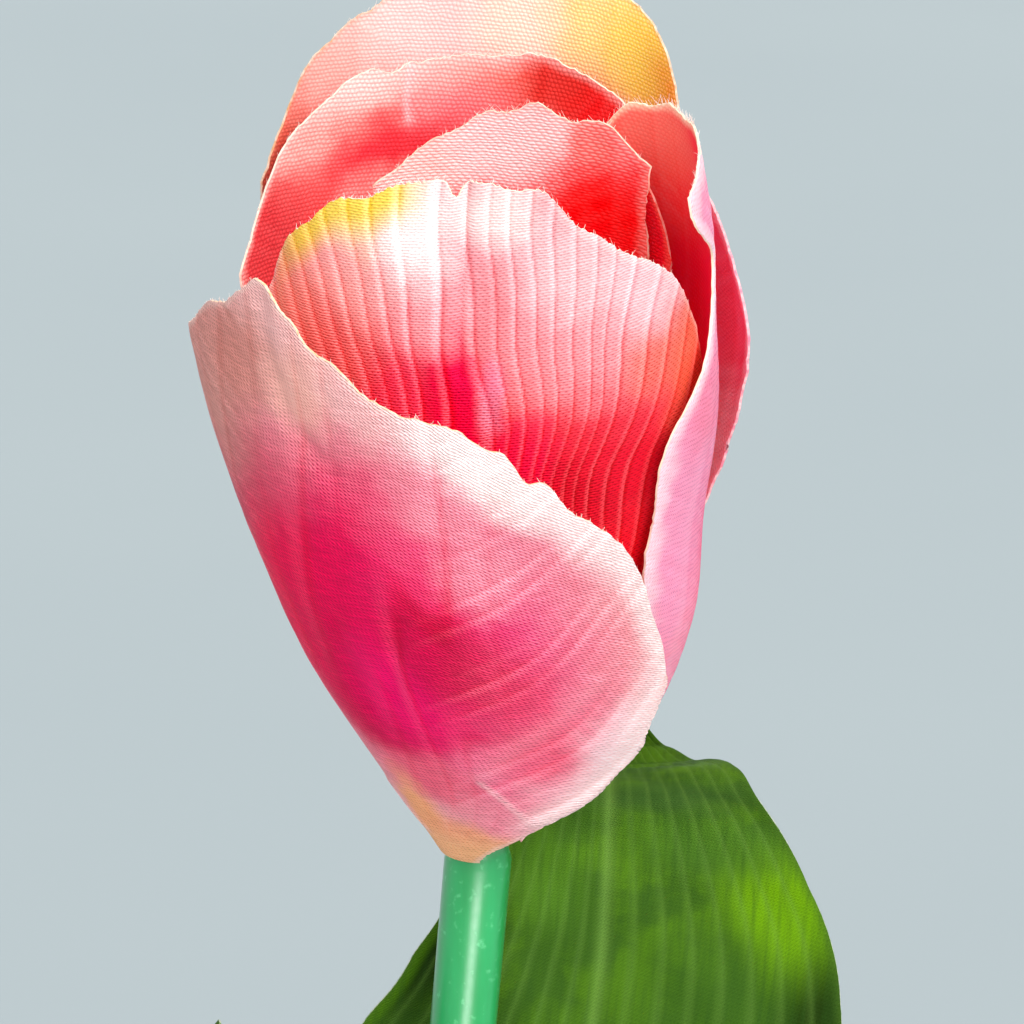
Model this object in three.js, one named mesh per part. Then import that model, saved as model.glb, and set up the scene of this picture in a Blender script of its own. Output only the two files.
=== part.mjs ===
// A single artificial tulip standing in a plain vase.
//
// Millimetres, +Z up. The vase stands on z = 0 round the Z axis, and the flower's front faces -Y.
// Petals and leaves are stamped from cloth, the stem is plastic moulded round a steel wire, and
// the vase is glazed stoneware. Every petal and leaf is a thin sheet with its own outline.

import * as THREE from 'three';

// Driving dimensions of the vase

const VASE_HEIGHT = 140;
const VASE_SIDES = 40;
const VASE_FLOOR = 6;
const VASE_WALL = 3.5;
const VASE_FOOT_RADIUS = 23;
const VASE_FOOT_EDGE = 1.2;
const VASE_BELLY_RADIUS = 34;
const VASE_BELLY_HEIGHT = 46;
const VASE_NECK_RADIUS = 12.5;
const VASE_NECK_HEIGHT = 118;
const VASE_LIP_RADIUS = 16.5;

// Driving dimensions of the stem and its wire

const CLEARANCE = 0.3;
const STEM_RADIUS = 2.45;
const STEM_HEAD_RADIUS = 2.6;
const STEM_SIDES = 12;
const STEM_STEP = 11;
const STEM_FOOT = { x: -9.8, y: 0, z: VASE_FLOOR + 0.8 };
const STEM_LEAN = 0.15;
const STEM_BEND = 0.00013;
const STEM_FORWARD = 6;
const WIRE_RADIUS = 0.8;
const WIRE_SIDES = 8;
const WIRE_TOP = 252;

// Where the petals meet the stem, and how the flower leans there

const FLOWER_HEIGHT = 262;
const FLOWER_TILT = 10;
const FLOWER_LEAN = 1;

// The tapered tip that the petals are pushed on to: [height above the stem's end, radius]

const STEM_TIP = [[0, STEM_HEAD_RADIUS], [1, 2.35], [2, 1.75], [3, 1.25], [4, 0.9], [5.5, 0.75], [7, 0.6]];

// Cloth thickness of the petals and leaves

const CLOTH = 0.6;

// Petals, in the flower's own frame: heights and radii in mm, angles in degrees.
// azimuth   direction of the petal's middle, 0 at the front and growing to the viewer's right
// foot      height where the petal starts; height is its tallest point
// wide      half angle from foot to top, towards smaller and towards larger angles
// radius    distance from the flower's axis at the petal's middle, from foot to top
// tuck      how much further out each side edge lies than the middle, from foot to top
// rim       height of the free edge, evenly spaced across the petal
// ribs      number of pressed ribs that fan out from the foot, and ribDepth their height

const PETALS = {
  petal_inner_back: {
    azimuth: 170, foot: 4, height: 58.5, columns: 18, rows: 10, colour: 0xe04a58,
    wide: [[40, 50, 58, 60, 60, 60], [40, 52, 60, 64, 64, 62]],
    radius: [1.5, 6.5, 8.8, 9.2, 8.8, 8.4],
    tuck: [[0, 0.5, 2, 3, 3.8, 4.2], [0, 0, 1, 1.8, 2.2, 2.4]],
    rim: [55.5, 57.6, 58.2, 58.5, 58, 56.6, 54.8, 52.6],
    ribs: 9, ribDepth: 0.15,
  },
  petal_inner_right: {
    azimuth: 121, foot: 4, height: 54, columns: 6, rows: 10, colour: 0xe04050,
    wide: [[14, 15, 15, 15, 14], [14, 15, 15, 15, 14]],
    radius: [2.9, 10.2, 12.6, 13.3, 13.3],
    tuck: [[0, 0.4, 0.9, 0.9, 0.9], [0, -1, -1, -1, -1]],
    rim: [48, 51.5, 53.5, 54, 53, 51],
    ribs: 3, ribDepth: 0.1,
  },
  petal_inner_front: {
    azimuth: 0, foot: 4, height: 61, columns: 32, rows: 10, colour: 0xf090a8,
    wide: [[55, 68, 74, 78, 80, 80], [55, 70, 80, 84, 86, 86]],
    radius: [1.5, 9.5, 13, 13.8, 13.8, 13.4],
    tuck: [[0, 0.5, 1.5, 2.4, 3, 3.8], [0, 0.5, 1.2, 2, 2.6, 3]],
    rim: [47, 53, 56.6, 58.6, 59.9, 60.8, 60.4, 60, 57, 54.4, 52.4, 48.4, 41.5],
    ribs: 16, ribDepth: 0.3,
  },
  petal_back_left: {
    azimuth: -165, foot: 2, height: 60.5, columns: 16, rows: 10, colour: 0xe06068,
    wide: [[36, 48, 50, 54, 58, 62], [40, 54, 60, 66, 67, 66]],
    radius: [2.4, 9.6, 13.6, 15, 15.2, 14.8],
    tuck: [[0, 0, 0.3, 0.6, 0.6, 0.6], [0, 0, 0, 2, 3.5, 3.5]],
    rim: [56.5, 59.2, 60.3, 60.1, 59.8, 59, 55.3, 47],
    ribs: 8, ribDepth: 0.1,
  },
  petal_right: {
    azimuth: 105, foot: 2, height: 59.5, columns: 18, rows: 11, colour: 0xf088b0,
    wide: [[30, 50, 56, 54, 51, 51, 51], [30, 34, 35, 35, 35, 35, 35]],
    radius: [2.4, 12, 16.2, 17.1, 17.7, 16.8, 15.4],
    tuck: [[0, -0.8, -1.2, -1.2, -0.6, 0, 0], [0, -1.5, -3, -4, -4.4, -3.8, -3]],
    rim: [35.5, 39.5, 41.5, 43.5, 53.5, 57, 58.8, 58.6, 56],
    ribs: 9, ribDepth: 0.1,
  },
  petal_far_right: {
    azimuth: 130, foot: 1, height: 52, columns: 12, rows: 10, colour: 0xe84860,
    wide: [[22, 12, 14, 18, 26, 26], [12, 24, 32, 34, 34, 32]],
    radius: [3.4, 13.4, 17.2, 18.8, 20, 19],
    tuck: [[0, 0, 0, 0, 0, 0], [0, 0, 0, 0, 0, 0]],
    rim: [42, 48, 51, 52, 52, 50, 45],
    ribs: 6, ribDepth: 0.1,
  },
  petal_back: {
    azimuth: 180, foot: 1, height: 66, columns: 18, rows: 11, colour: 0xf0b0b0,
    wide: [[22, 30, 34, 42, 56, 63], [30, 54, 62, 64, 63, 63]],
    radius: [3.4, 11.4, 16, 17.6, 18, 17.8],
    tuck: [[0, 0, 0, -0.2, -0.6, -0.8], [0, 0.6, 0.6, 0.8, 1.2, 1.8]],
    rim: [54, 62.8, 65.4, 66, 65.8, 65, 63.2, 59.6, 52],
    ribs: 9, ribDepth: 0.1,
  },
  petal_front_left: {
    azimuth: -40, foot: 1.2, height: 53, columns: 22, rows: 12, colour: 0xe83880,
    wide: [[36, 60, 66, 67, 68, 66, 65], [40, 90, 93, 95, 97, 98, 98]],
    radius: [3, 8.8, 13.8, 17.2, 18.8, 19.6, 20.3],
    tuck: [[0, -2.8, -2.4, -0.6, 2.2, 4, 4], [0, 3.2, 3.2, 1.7, 0.4, 0, 0]],
    rim: [38, 43, 47.2, 49.4, 52.2, 48.8, 45.2, 43.2, 37.8, 31.6, 20],
    ribs: 11, ribDepth: 0.1,
  },
};

// Leaves. Each starts as a sleeve on the stem, at the height of its foot, and follows its spine.
// A spine point is [x, y, z from the flower's foot, half width to each side, radius of its cupping].
// side is the direction that the back of the leaf faces, at the foot and at the tip, as for a petal.

const SLEEVE_PLAY = 0.05;
const SLEEVE_RADIUS = STEM_RADIUS + CLEARANCE + SLEEVE_PLAY + CLOTH / 2;
const SLEEVE_OPENING = [0, 0.3, 1.3];
const SLEEVE_HALF_WIDTH = 4;
const LEAF_COLUMNS = 12;
const LEAVES = {
  leaf_back: {
    sleeve: [-102, -95, -88], side: [160, 180], rows: 26, wave: 0.5, waves: 3,
    spine: [
      [-5.6, 9, -75, 9.5, 9.5, 9],
      [-2, 10, -58, 14.5, 14.5, 18],
      [3.2, 10.5, -39, 18.5, 18.5, 36],
      [8, 10.3, -22, 19.5, 19, 60],
      [9.6, 10, -12, 15.8, 18.4, 60],
      [10.1, 9.6, -4, 11.5, 15.3, 60],
      [10.3, 9.2, 1.8, 9, 11.8, 60],
      [10.4, 10.8, 3.5, 8, 9.6, 60],
      [10.4, 15, 2.6, 6.5, 7.5, 60],
      [10.5, 18.5, 2.4, 5, 5.2, 40],
      [10.5, 20.5, 4, 3.4, 3.4, 30],
      [10.6, 21.4, 8.4, 0.4, 0.4, 30],
    ],
    colour: 0x4a8020,
  },
  leaf_left: {
    sleeve: [-116, -109, -102], side: [-50, -78], rows: 20, wave: 0.8, waves: 3,
    spine: [
      [-19.2, -0.8, -89, 9.5, 9.5, 9],
      [-24, -2.4, -74, 12.6, 12.6, 16],
      [-27, -3.4, -56, 13.4, 13.4, 26],
      [-27.4, -3.4, -40, 11.4, 11.4, 34],
      [-25.4, -2.9, -27, 7.6, 7.6, 34],
      [-22.6, -2.4, -18.5, 3.8, 3.8, 34],
      [-19.8, -2, -12.6, 0.4, 0.4, 34],
    ],
    colour: 0x3c6c1c,
  },
};

// Shared arithmetic

const radians = THREE.MathUtils.degToRad;

// Smooth curve through evenly spaced values, at t from 0 to 1.
function through(values, t) {
  const last = values.length - 1;
  const x = THREE.MathUtils.clamp(t, 0, 1) * last;
  const i = Math.min(Math.floor(x), last - 1);
  const f = x - i;
  const b = values[i];
  const c = values[i + 1];
  const a = i > 0 ? values[i - 1] : 2 * b - c;
  const d = i < last - 1 ? values[i + 2] : 2 * c - b;
  const linear = (c - a) * f;
  const square = (2 * a - 5 * b + 4 * c - d) * f ** 2;
  const cube = (3 * b - a - 3 * c + d) * f ** 3;
  return (2 * b + linear + square + cube) / 2;
}

function bodyFrom(points, triangles) {
  const geometry = new THREE.BufferGeometry();
  const positions = points.flatMap((p) => [p.x, p.y, p.z]);
  geometry.setAttribute('position', new THREE.Float32BufferAttribute(positions, 3));
  geometry.setIndex(triangles.flat());
  geometry.computeVertexNormals();
  return geometry;
}

function namedMesh(name, geometry, colour, roughness) {
  const material = new THREE.MeshStandardMaterial({ color: colour, roughness, metalness: 0 });
  const mesh = new THREE.Mesh(geometry, material);
  mesh.name = name;
  return mesh;
}

// A closed sheet of cloth round a middle surface: surface(u, v) with u from -1 to 1 across and v
// from 0 to 1 along. Both faces are split into triangles alike, and side +1 is the outer face.
function clothSheet(surface, columns, rows) {
  const reach = 1e-3;
  const points = [];
  const triangles = [];
  const index = (face, i, j) => (face * (columns + 1) + i) * (rows + 1) + j;
  const facing = (u, v) => {
    const across = surface(u + reach, v).sub(surface(u - reach, v));
    const along = surface(u, v + reach).sub(surface(u, v - reach));
    return across.cross(along).normalize();
  };
  for (const side of [1, -1]) {
    for (let i = 0; i <= columns; i += 1) {
      for (let j = 0; j <= rows; j += 1) {
        const u = (2 * i) / columns - 1;
        const v = j / rows;
        points.push(surface(u, v).addScaledVector(facing(u, v), (side * CLOTH) / 2));
      }
    }
  }
  const quad = (a, b, c, d) => triangles.push([a, b, c], [a, c, d]);
  for (let i = 0; i < columns; i += 1) {
    for (let j = 0; j < rows; j += 1) {
      const corners = (face) => [index(face, i, j), index(face, i + 1, j),
        index(face, i + 1, j + 1), index(face, i, j + 1)];
      const [a, b, c, d] = corners(0);
      const [e, f, g, h] = corners(1);
      quad(a, b, c, d);
      triangles.push([e, g, f], [e, h, g]);
    }
  }
  for (let i = 0; i < columns; i += 1) {
    quad(index(0, i + 1, 0), index(0, i, 0), index(1, i, 0), index(1, i + 1, 0));
    quad(index(0, i, rows), index(0, i + 1, rows), index(1, i + 1, rows), index(1, i, rows));
  }
  for (let j = 0; j < rows; j += 1) {
    quad(index(0, 0, j), index(0, 0, j + 1), index(1, 0, j + 1), index(1, 0, j));
    quad(index(0, columns, j + 1), index(0, columns, j), index(1, columns, j), index(1, columns, j + 1));
  }
  return bodyFrom(points, triangles);
}

// The vase: one round wall, closed below, with a rolled lip

function vaseGeometry() {
  const outer = new THREE.SplineCurve([
    new THREE.Vector2(VASE_FOOT_RADIUS, VASE_FOOT_EDGE),
    new THREE.Vector2(VASE_FOOT_RADIUS + 5.5, 14),
    new THREE.Vector2(VASE_BELLY_RADIUS - 1.2, 31),
    new THREE.Vector2(VASE_BELLY_RADIUS, VASE_BELLY_HEIGHT),
    new THREE.Vector2(VASE_BELLY_RADIUS - 3.5, 65),
    new THREE.Vector2(VASE_NECK_RADIUS + 10, 84),
    new THREE.Vector2(VASE_NECK_RADIUS + 2.5, 101),
    new THREE.Vector2(VASE_NECK_RADIUS, VASE_NECK_HEIGHT),
    new THREE.Vector2(VASE_NECK_RADIUS + 1, 130),
    new THREE.Vector2(VASE_LIP_RADIUS, VASE_HEIGHT - VASE_WALL / 2),
  ]);
  const wallPoints = outer.getPoints(15);
  const inner = wallPoints
    .map((p) => new THREE.Vector2(p.x - VASE_WALL, p.y))
    .filter((p) => p.y > VASE_FLOOR + 5)
    .reverse();
  const lip = [];
  for (let k = 1; k < 4; k += 1) {
    const turn = (Math.PI * k) / 4;
    const x = VASE_LIP_RADIUS - VASE_WALL / 2 + (VASE_WALL / 2) * Math.cos(turn);
    lip.push(new THREE.Vector2(x, VASE_HEIGHT - VASE_WALL / 2 + (VASE_WALL / 2) * Math.sin(turn)));
  }
  const profile = [
    new THREE.Vector2(0, 0),
    new THREE.Vector2(VASE_FOOT_RADIUS - VASE_FOOT_EDGE, 0),
    ...wallPoints,
    ...lip,
    ...inner,
    new THREE.Vector2(VASE_FOOT_RADIUS - VASE_WALL - 2, VASE_FLOOR),
    new THREE.Vector2(0, VASE_FLOOR),
  ];
  return new THREE.LatheGeometry(profile, VASE_SIDES);
}

// The stem's route: up through the neck, bending towards the upright, then along the flower's axis

const flowerTurn = new THREE.Euler(radians(FLOWER_TILT), radians(FLOWER_LEAN), 0, 'XYZ');
const flowerAxis = new THREE.Vector3(0, 0, 1).applyEuler(flowerTurn);

function stemAt(z) {
  const rise = z - STEM_FOOT.z;
  const share = rise / (FLOWER_HEIGHT - STEM_FOOT.z);
  const x = STEM_FOOT.x + STEM_LEAN * rise - STEM_BEND * rise ** 2;
  return new THREE.Vector3(x, STEM_FOOT.y - STEM_FORWARD * share ** 2, z);
}

const flowerFoot = stemAt(FLOWER_HEIGHT);

// Rings of points round a route, closed with a cap at each end. Each station is { at, along, radius }.
// A route that first comes down a bore and then goes up outside it makes a bar with a blind bore.
function roundBar(stations, sides) {
  const points = [];
  const triangles = [];
  const sideways = new THREE.Vector3(1, 0, 0);
  stations.forEach(({ at, along, radius }) => {
    const back = along.clone().cross(sideways).normalize();
    const right = back.clone().cross(along).normalize();
    for (let k = 0; k < sides; k += 1) {
      const turn = (2 * Math.PI * k) / sides;
      const point = at.clone().addScaledVector(right, radius * Math.cos(turn));
      points.push(point.addScaledVector(back, radius * Math.sin(turn)));
    }
  });
  for (let ring = 0; ring + 1 < stations.length; ring += 1) {
    for (let k = 0; k < sides; k += 1) {
      const next = (k + 1) % sides;
      const a = ring * sides + k;
      const b = ring * sides + next;
      triangles.push([a, b, b + sides], [a, b + sides, a + sides]);
    }
  }
  const top = (stations.length - 1) * sides;
  for (let k = 1; k + 1 < sides; k += 1) {
    triangles.push([0, k + 1, k], [top, top + k, top + k + 1]);
  }
  return bodyFrom(points, triangles);
}

function stemStation(z, radius) {
  return { at: stemAt(z), along: stemAt(z + 1).sub(stemAt(z - 1)).normalize(), radius };
}

function stemHeights(top) {
  const steps = Math.round((top - STEM_FOOT.z) / STEM_STEP);
  return Array.from({ length: steps + 1 }, (_, k) => THREE.MathUtils.lerp(STEM_FOOT.z, top, k / steps));
}

function stemGeometry() {
  const bore = stemHeights(WIRE_TOP).map((z) => stemStation(z, WIRE_RADIUS + CLEARANCE)).reverse();
  const outside = stemHeights(FLOWER_HEIGHT - STEM_STEP / 3).map((z) => {
    const share = (z - STEM_FOOT.z) / (FLOWER_HEIGHT - STEM_FOOT.z);
    return stemStation(z, THREE.MathUtils.lerp(STEM_RADIUS, STEM_HEAD_RADIUS, share ** 4));
  });
  const tip = STEM_TIP.map(([height, radius]) => (
    { at: flowerFoot.clone().addScaledVector(flowerAxis, height), along: flowerAxis, radius }
  ));
  return roundBar([...bore, ...outside, ...tip], STEM_SIDES);
}

function wireGeometry() {
  const heights = stemHeights(WIRE_TOP);
  heights[heights.length - 1] -= CLEARANCE;
  return roundBar(heights.map((z) => stemStation(z, WIRE_RADIUS)), WIRE_SIDES);
}

// Petals

function petalSurface(petal) {
  return (u, v) => {
    const side = u < 0 ? 0 : 1;
    const top = through(petal.rim, (u + 1) / 2);
    const z = petal.foot + (top - petal.foot) * v;
    const t = (z - petal.foot) / (petal.height - petal.foot);
    const angle = radians(petal.azimuth + u * through(petal.wide[side], t));
    const rib = petal.ribDepth * Math.cos(Math.PI * petal.ribs * (u + 1)) * Math.min(1, 2 * v);
    const radius = through(petal.radius, t) + through(petal.tuck[side], t) * u ** 2 + rib;
    return new THREE.Vector3(radius * Math.sin(angle), -radius * Math.cos(angle), z);
  };
}

// Leaves

function leafSurface(leaf) {
  const outward = (degrees) => new THREE.Vector3(Math.sin(radians(degrees)), -Math.cos(radians(degrees)), 0);
  const sleeve = leaf.sleeve.map((drop, k) => {
    const cup = SLEEVE_RADIUS + SLEEVE_OPENING[k];
    const point = stemAt(flowerFoot.z + drop).addScaledVector(outward(leaf.side[0]), cup).sub(flowerFoot);
    return [point.x, point.y, drop, SLEEVE_HALF_WIDTH, SLEEVE_HALF_WIDTH, cup];
  });
  const stations = [...sleeve, ...leaf.spine];
  const column = (k) => stations.map((station) => station[k]);
  const [xs, ys, zs, lefts, rights, cups] = [0, 1, 2, 3, 4, 5].map(column);
  const spine = (v) => new THREE.Vector3(through(xs, v), through(ys, v), through(zs, v)).add(flowerFoot);
  return (u, v) => {
    const along = spine(v + 1e-3).sub(spine(v - 1e-3)).normalize();
    const facing = THREE.MathUtils.lerp(leaf.side[0], leaf.side[1], THREE.MathUtils.smoothstep(v, 0.1, 0.5));
    const across = new THREE.Vector3(-Math.cos(radians(facing)), -Math.sin(radians(facing)), 0);
    across.addScaledVector(along, -across.dot(along)).normalize();
    const inward = across.clone().cross(along);
    const reach = u * through(u < 0 ? lefts : rights, v);
    const cup = through(cups, v);
    const waving = leaf.wave * Math.sin(Math.PI * leaf.waves * v) * u ** 2 * Math.sign(u) * v;
    const point = spine(v).addScaledVector(across, cup * Math.sin(reach / cup));
    return point.addScaledVector(inward, cup * (1 - Math.cos(reach / cup)) + waving);
  };
}

// The whole object

const tulip = new THREE.Group();

const vaseMesh = namedMesh('vase', vaseGeometry(), 0xe9e4da, 0.25);
vaseMesh.rotation.x = Math.PI / 2;
tulip.add(vaseMesh);

tulip.add(namedMesh('stem', stemGeometry(), 0x38b870, 0.35));

const wireMesh = namedMesh('stem_wire', wireGeometry(), 0x8a8c8e, 0.35);
wireMesh.material.metalness = 1;
tulip.add(wireMesh);

for (const [name, leaf] of Object.entries(LEAVES)) {
  tulip.add(namedMesh(name, clothSheet(leafSurface(leaf), LEAF_COLUMNS, leaf.rows), leaf.colour, 0.6));
}

const flower = new THREE.Group();
flower.position.copy(flowerFoot);
flower.rotation.copy(flowerTurn);
for (const [name, petal] of Object.entries(PETALS)) {
  flower.add(namedMesh(name, clothSheet(petalSurface(petal), petal.columns, petal.rows), petal.colour, 0.7));
}
tulip.add(flower);

export default tulip;
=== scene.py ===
import functools
import math
import random

import bpy
import numpy as np
from mathutils import Euler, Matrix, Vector


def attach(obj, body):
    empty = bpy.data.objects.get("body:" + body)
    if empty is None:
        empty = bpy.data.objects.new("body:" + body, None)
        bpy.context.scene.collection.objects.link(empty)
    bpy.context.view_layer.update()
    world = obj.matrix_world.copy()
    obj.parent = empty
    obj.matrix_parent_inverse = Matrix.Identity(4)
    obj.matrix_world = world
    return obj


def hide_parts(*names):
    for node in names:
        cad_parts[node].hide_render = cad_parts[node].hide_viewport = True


# A single artificial tulip in a plain stoneware vase: petals and leaves stamped from satin cloth
# and set by heat, a moulded stem on a steel wire. Lengths are millimetres until a mesh is made.

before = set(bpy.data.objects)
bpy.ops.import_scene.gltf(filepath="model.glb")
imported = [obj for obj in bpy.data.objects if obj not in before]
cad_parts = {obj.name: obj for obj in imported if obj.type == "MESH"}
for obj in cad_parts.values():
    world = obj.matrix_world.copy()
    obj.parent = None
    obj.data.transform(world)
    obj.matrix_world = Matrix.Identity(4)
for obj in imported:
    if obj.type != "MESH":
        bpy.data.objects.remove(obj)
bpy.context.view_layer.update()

MM = 0.001
SEED = 7

# Driving dimensions, as in the part's source

VASE_HEIGHT = 140
VASE_FLOOR = 6
VASE_WALL = 3.5
VASE_FOOT_RADIUS = 23
VASE_FOOT_EDGE = 1.2
VASE_BELLY_RADIUS = 34
VASE_BELLY_HEIGHT = 46
VASE_NECK_RADIUS = 12.5
VASE_NECK_HEIGHT = 118
VASE_LIP_RADIUS = 16.5

CLEARANCE = 0.3
STEM_RADIUS = 2.45
STEM_HEAD_RADIUS = 2.6
STEM_FOOT = (-9.8, 0, VASE_FLOOR + 0.8)
STEM_LEAN = 0.15
STEM_BEND = 0.00013
STEM_FORWARD = 6
WIRE_RADIUS = 0.8
WIRE_TOP = 252
FLOWER_HEIGHT = 262
FLOWER_TILT = 10
FLOWER_LEAN = 1
STEM_TIP = [(0, STEM_HEAD_RADIUS), (1, 2.35), (2, 1.75), (3, 1.25), (4, 0.9), (5.5, 0.75), (7, 0.6)]

# Petals, in the flower's own frame: heights and radii in mm, angles in degrees.
# azimuth   direction of the petal's middle, 0 at the front and growing to the viewer's right
# foot      height where the petal starts; height is its tallest point
# wide      half angle from foot to top, towards smaller and towards larger angles
# radius    distance from the flower's axis at the petal's middle, from foot to top
# tuck      how much further out each side edge lies than the middle, from foot to top
# rim       height of the free edge, evenly spaced across the petal
# ribs      number of pressed ribs that run up from the foot, and rib_depth their height; those of
#           petal_inner_front are in GROOVES

PETALS = {
    "petal_inner_back": dict(
        azimuth=170, foot=4, height=58.5,
        wide=([40, 50, 58, 60, 60, 60], [40, 52, 60, 64, 64, 62]),
        radius=[1.5, 6.5, 8.8, 9.2, 8.8, 8.4],
        tuck=([0, 0.5, 2, 3, 3.8, 4.2], [0, 0, 1, 1.8, 2.2, 2.4]),
        rim=[55.5, 57.6, 58.2, 58.5, 58, 56.6, 54.8, 52.6],
        ribs=9, rib_depth=0.15,
    ),
    "petal_inner_right": dict(
        azimuth=121, foot=4, height=54,
        wide=([14, 15, 15, 15, 14], [14, 15, 15, 15, 14]),
        radius=[2.9, 10.2, 12.6, 13.3, 13.3],
        tuck=([0, 0.4, 0.9, 0.9, 0.9], [0, -1, -1, -1, -1]),
        rim=[48, 51.5, 53.5, 54, 53, 51],
        ribs=3, rib_depth=0.1,
    ),
    "petal_inner_front": dict(
        azimuth=0, foot=4, height=61,
        wide=([55, 68, 74, 78, 80, 80], [55, 70, 80, 84, 86, 86]),
        radius=[1.5, 9.5, 13, 13.8, 13.8, 13.4],
        tuck=([0, 0.5, 1.5, 2.4, 3, 3.8], [0, 0.5, 1.2, 2, 2.6, 3]),
        rim=[47, 53, 56.6, 58.6, 59.9, 60.8, 60.4, 60, 57, 54.4, 52.4, 48.4, 41.5],
    ),
    "petal_back_left": dict(
        azimuth=-165, foot=2, height=60.5,
        wide=([36, 48, 50, 54, 58, 62], [40, 54, 60, 66, 67, 66]),
        radius=[2.4, 9.6, 13.6, 15, 15.2, 14.8],
        tuck=([0, 0, 0.3, 0.6, 0.6, 0.6], [0, 0, 0, 2, 3.5, 3.5]),
        rim=[56.5, 59.2, 60.3, 60.1, 59.8, 59, 55.3, 47],
        ribs=8, rib_depth=0.1,
    ),
    "petal_right": dict(
        azimuth=105, foot=2, height=59.5,
        wide=(
            [30, 42, 50, 54, 55.5, 55, 54, 53, 50, 27, 17, 36, 36],
            [30, 34, 35, 35, 35, 35, 35],
        ),
        radius=[2.4, 12, 15.9, 16.6, 17.1, 16.6, 15.2],
        tuck=([0, -0.8, -1.2, -1, -0.4, 0, 0], [0, -1.5, -3, -4, -4.4, -3.8, -3]),
        rim=[57, 58, 58.5, 58.8, 59.2, 59.3, 59, 58.6, 56],
        ribs=9, rib_depth=0.1,
    ),
    "petal_far_right": dict(
        azimuth=130, foot=1, height=52,
        wide=([22, 10, 10, 22, 30, 26], [12, 24, 32, 34, 34, 32]),
        radius=[3.4, 13.4, 17, 19.1, 19.9, 19],
        tuck=([0, 0, 0, 0, 0, 0], [0, 0, 0, 0, 0, 0]),
        rim=[42, 48, 51, 52, 52, 50, 45],
        ribs=6, rib_depth=0.1,
    ),
    "petal_back": dict(
        azimuth=180, foot=1, height=66,
        wide=([22, 30, 34, 42, 56, 63], [30, 54, 62, 64, 63, 63]),
        radius=[3.4, 11.4, 16, 17.6, 18, 17.8],
        tuck=([0, 0, 0, -0.2, -0.6, -0.8], [0, 0.6, 0.6, 0.8, 1.2, 1.8]),
        rim=[54, 62.8, 65.4, 66, 65.8, 65, 63.2, 59.6, 52],
        ribs=9, rib_depth=0.1,
    ),
    "petal_front_left": dict(
        azimuth=-40, foot=1.2, height=53,
        wide=([36, 60, 66, 67, 68, 66, 65], [40, 90, 93, 95, 97, 98, 98]),
        radius=[3, 8.8, 13.8, 17.2, 18.8, 19.6, 20.3],
        tuck=([0, -2.8, -2.4, -0.6, 2.2, 4, 4], [0, 3.2, 2.8, 1.2, 0.2, 0, 0]),
        rim=[38, 43, 47.2, 49.4, 52.2, 48.8, 45.2, 43.2, 37.8, 31.6, 20],
        ribs=11, rib_depth=0.1,
    ),
}

# Leaves. Each starts as a sleeve on the stem, at the height of its foot, and follows its spine.
# A spine point is (x, y, z from the flower's foot, half width to each side, radius of its cupping).

CAD_CLOTH = 0.6
SLEEVE_PLAY = 0.05
SLEEVE_RADIUS = STEM_RADIUS + CLEARANCE + SLEEVE_PLAY + CAD_CLOTH / 2
SLEEVE_OPENING = (0, 0.3, 1.3)
SLEEVE_HALF_WIDTH = 4
LEAVES = {
    "leaf_back": dict(
        sleeve=[-102, -95, -88], side=(160, 180), wave=0.5, waves=3,
        spine=[
            (-5.6, 9, -75, 9.5, 9.5, 9),
            (-2, 10, -58, 14.5, 14.5, 18),
            (3.2, 10.5, -39, 18.5, 18.8, 36),
            (8, 10.3, -22, 18.8, 19.9, 60),
            (9.6, 10, -12, 15, 19.3, 60),
            (10.1, 9.6, -4, 11.3, 16, 60),
            (10.3, 9.2, 1.8, 9, 12.2, 60),
            (10.4, 10.8, 3.5, 8, 9.6, 60),
            (10.4, 15, 2.6, 6.5, 7.5, 60),
            (10.5, 18.5, 2.4, 5, 5.2, 40),
            (10.5, 20.5, 4, 3.4, 3.4, 30),
            (10.6, 21.4, 8.4, 0.4, 0.4, 30),
        ],
    ),
    "leaf_left": dict(
        sleeve=[-116, -109, -102], side=(-50, -78), wave=0.8, waves=3,
        spine=[
            (-19.2, -0.8, -89, 9.5, 9.5, 9),
            (-24, -2.4, -74, 12.6, 12.6, 16),
            (-27, -3.4, -56, 13.4, 13.4, 26),
            (-27.4, -3.4, -40, 11.4, 11.4, 34),
            (-25.4, -2.9, -27, 7.6, 7.6, 34),
            (-22.6, -2.4, -18.5, 3.8, 3.8, 34),
            (-19.8, -2, -12.6, 0.4, 0.4, 34),
        ],
    ),
}

# The real cloth: satin of fine polyester thread, starched and set by heat. Its threads lie about
# 0.08 mm apart, too fine to see at this size, so they and their ties are drawn coarser here: the
# face with threads THREAD mm wide, the back with the floats given in each look.
# CELL    spacing of the points of a petal's mesh, finer across the inner front petal for its ribs
# TIE     a thread dips every TIE_PITCH thread widths, TIE_STAGGER of that further on than its
#         neighbour, by TIE_DEPTH of its height
# FLOAT   middle and half size of a float of the back, as shares of its cell
# DEPTH   relief of the weave

CLOTH = 0.3
CLOTH_AT_EDGE = 0.18
CELL_ACROSS = 0.33
CELL_UP = 0.42
FINE_CELL_ACROSS = 0.16
LEAF_CELL_ACROSS = CELL_ACROSS * 1.2
LEAF_CELL_UP = CELL_UP * 1.3
THREAD = 0.22
TIE_PITCH = 2.2
TIE_STAGGER = 0.4
TIE_DEPTH = 0.6
FLOAT_IN_CELL = (0.5, 0.5, 0.45, 0.4)
FACE_DEPTH = 0.035
BACK_DEPTH = 0.06
LEAF_THREAD_DEPTH = 0.03
LEAF_THREADS_TURN = 40

# Starch and heat warm every colour a little, and a raised crease gets a painted highlight

STARCH_TONE = "#FFEAEA"
CREASE_HIGHLIGHT = "#FFE4E6"

# Relief of the cloth in mm: the wandering of the rim, its uneven thread ends, the sway of the whole
# petal, and the height of ribs and veins

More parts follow.
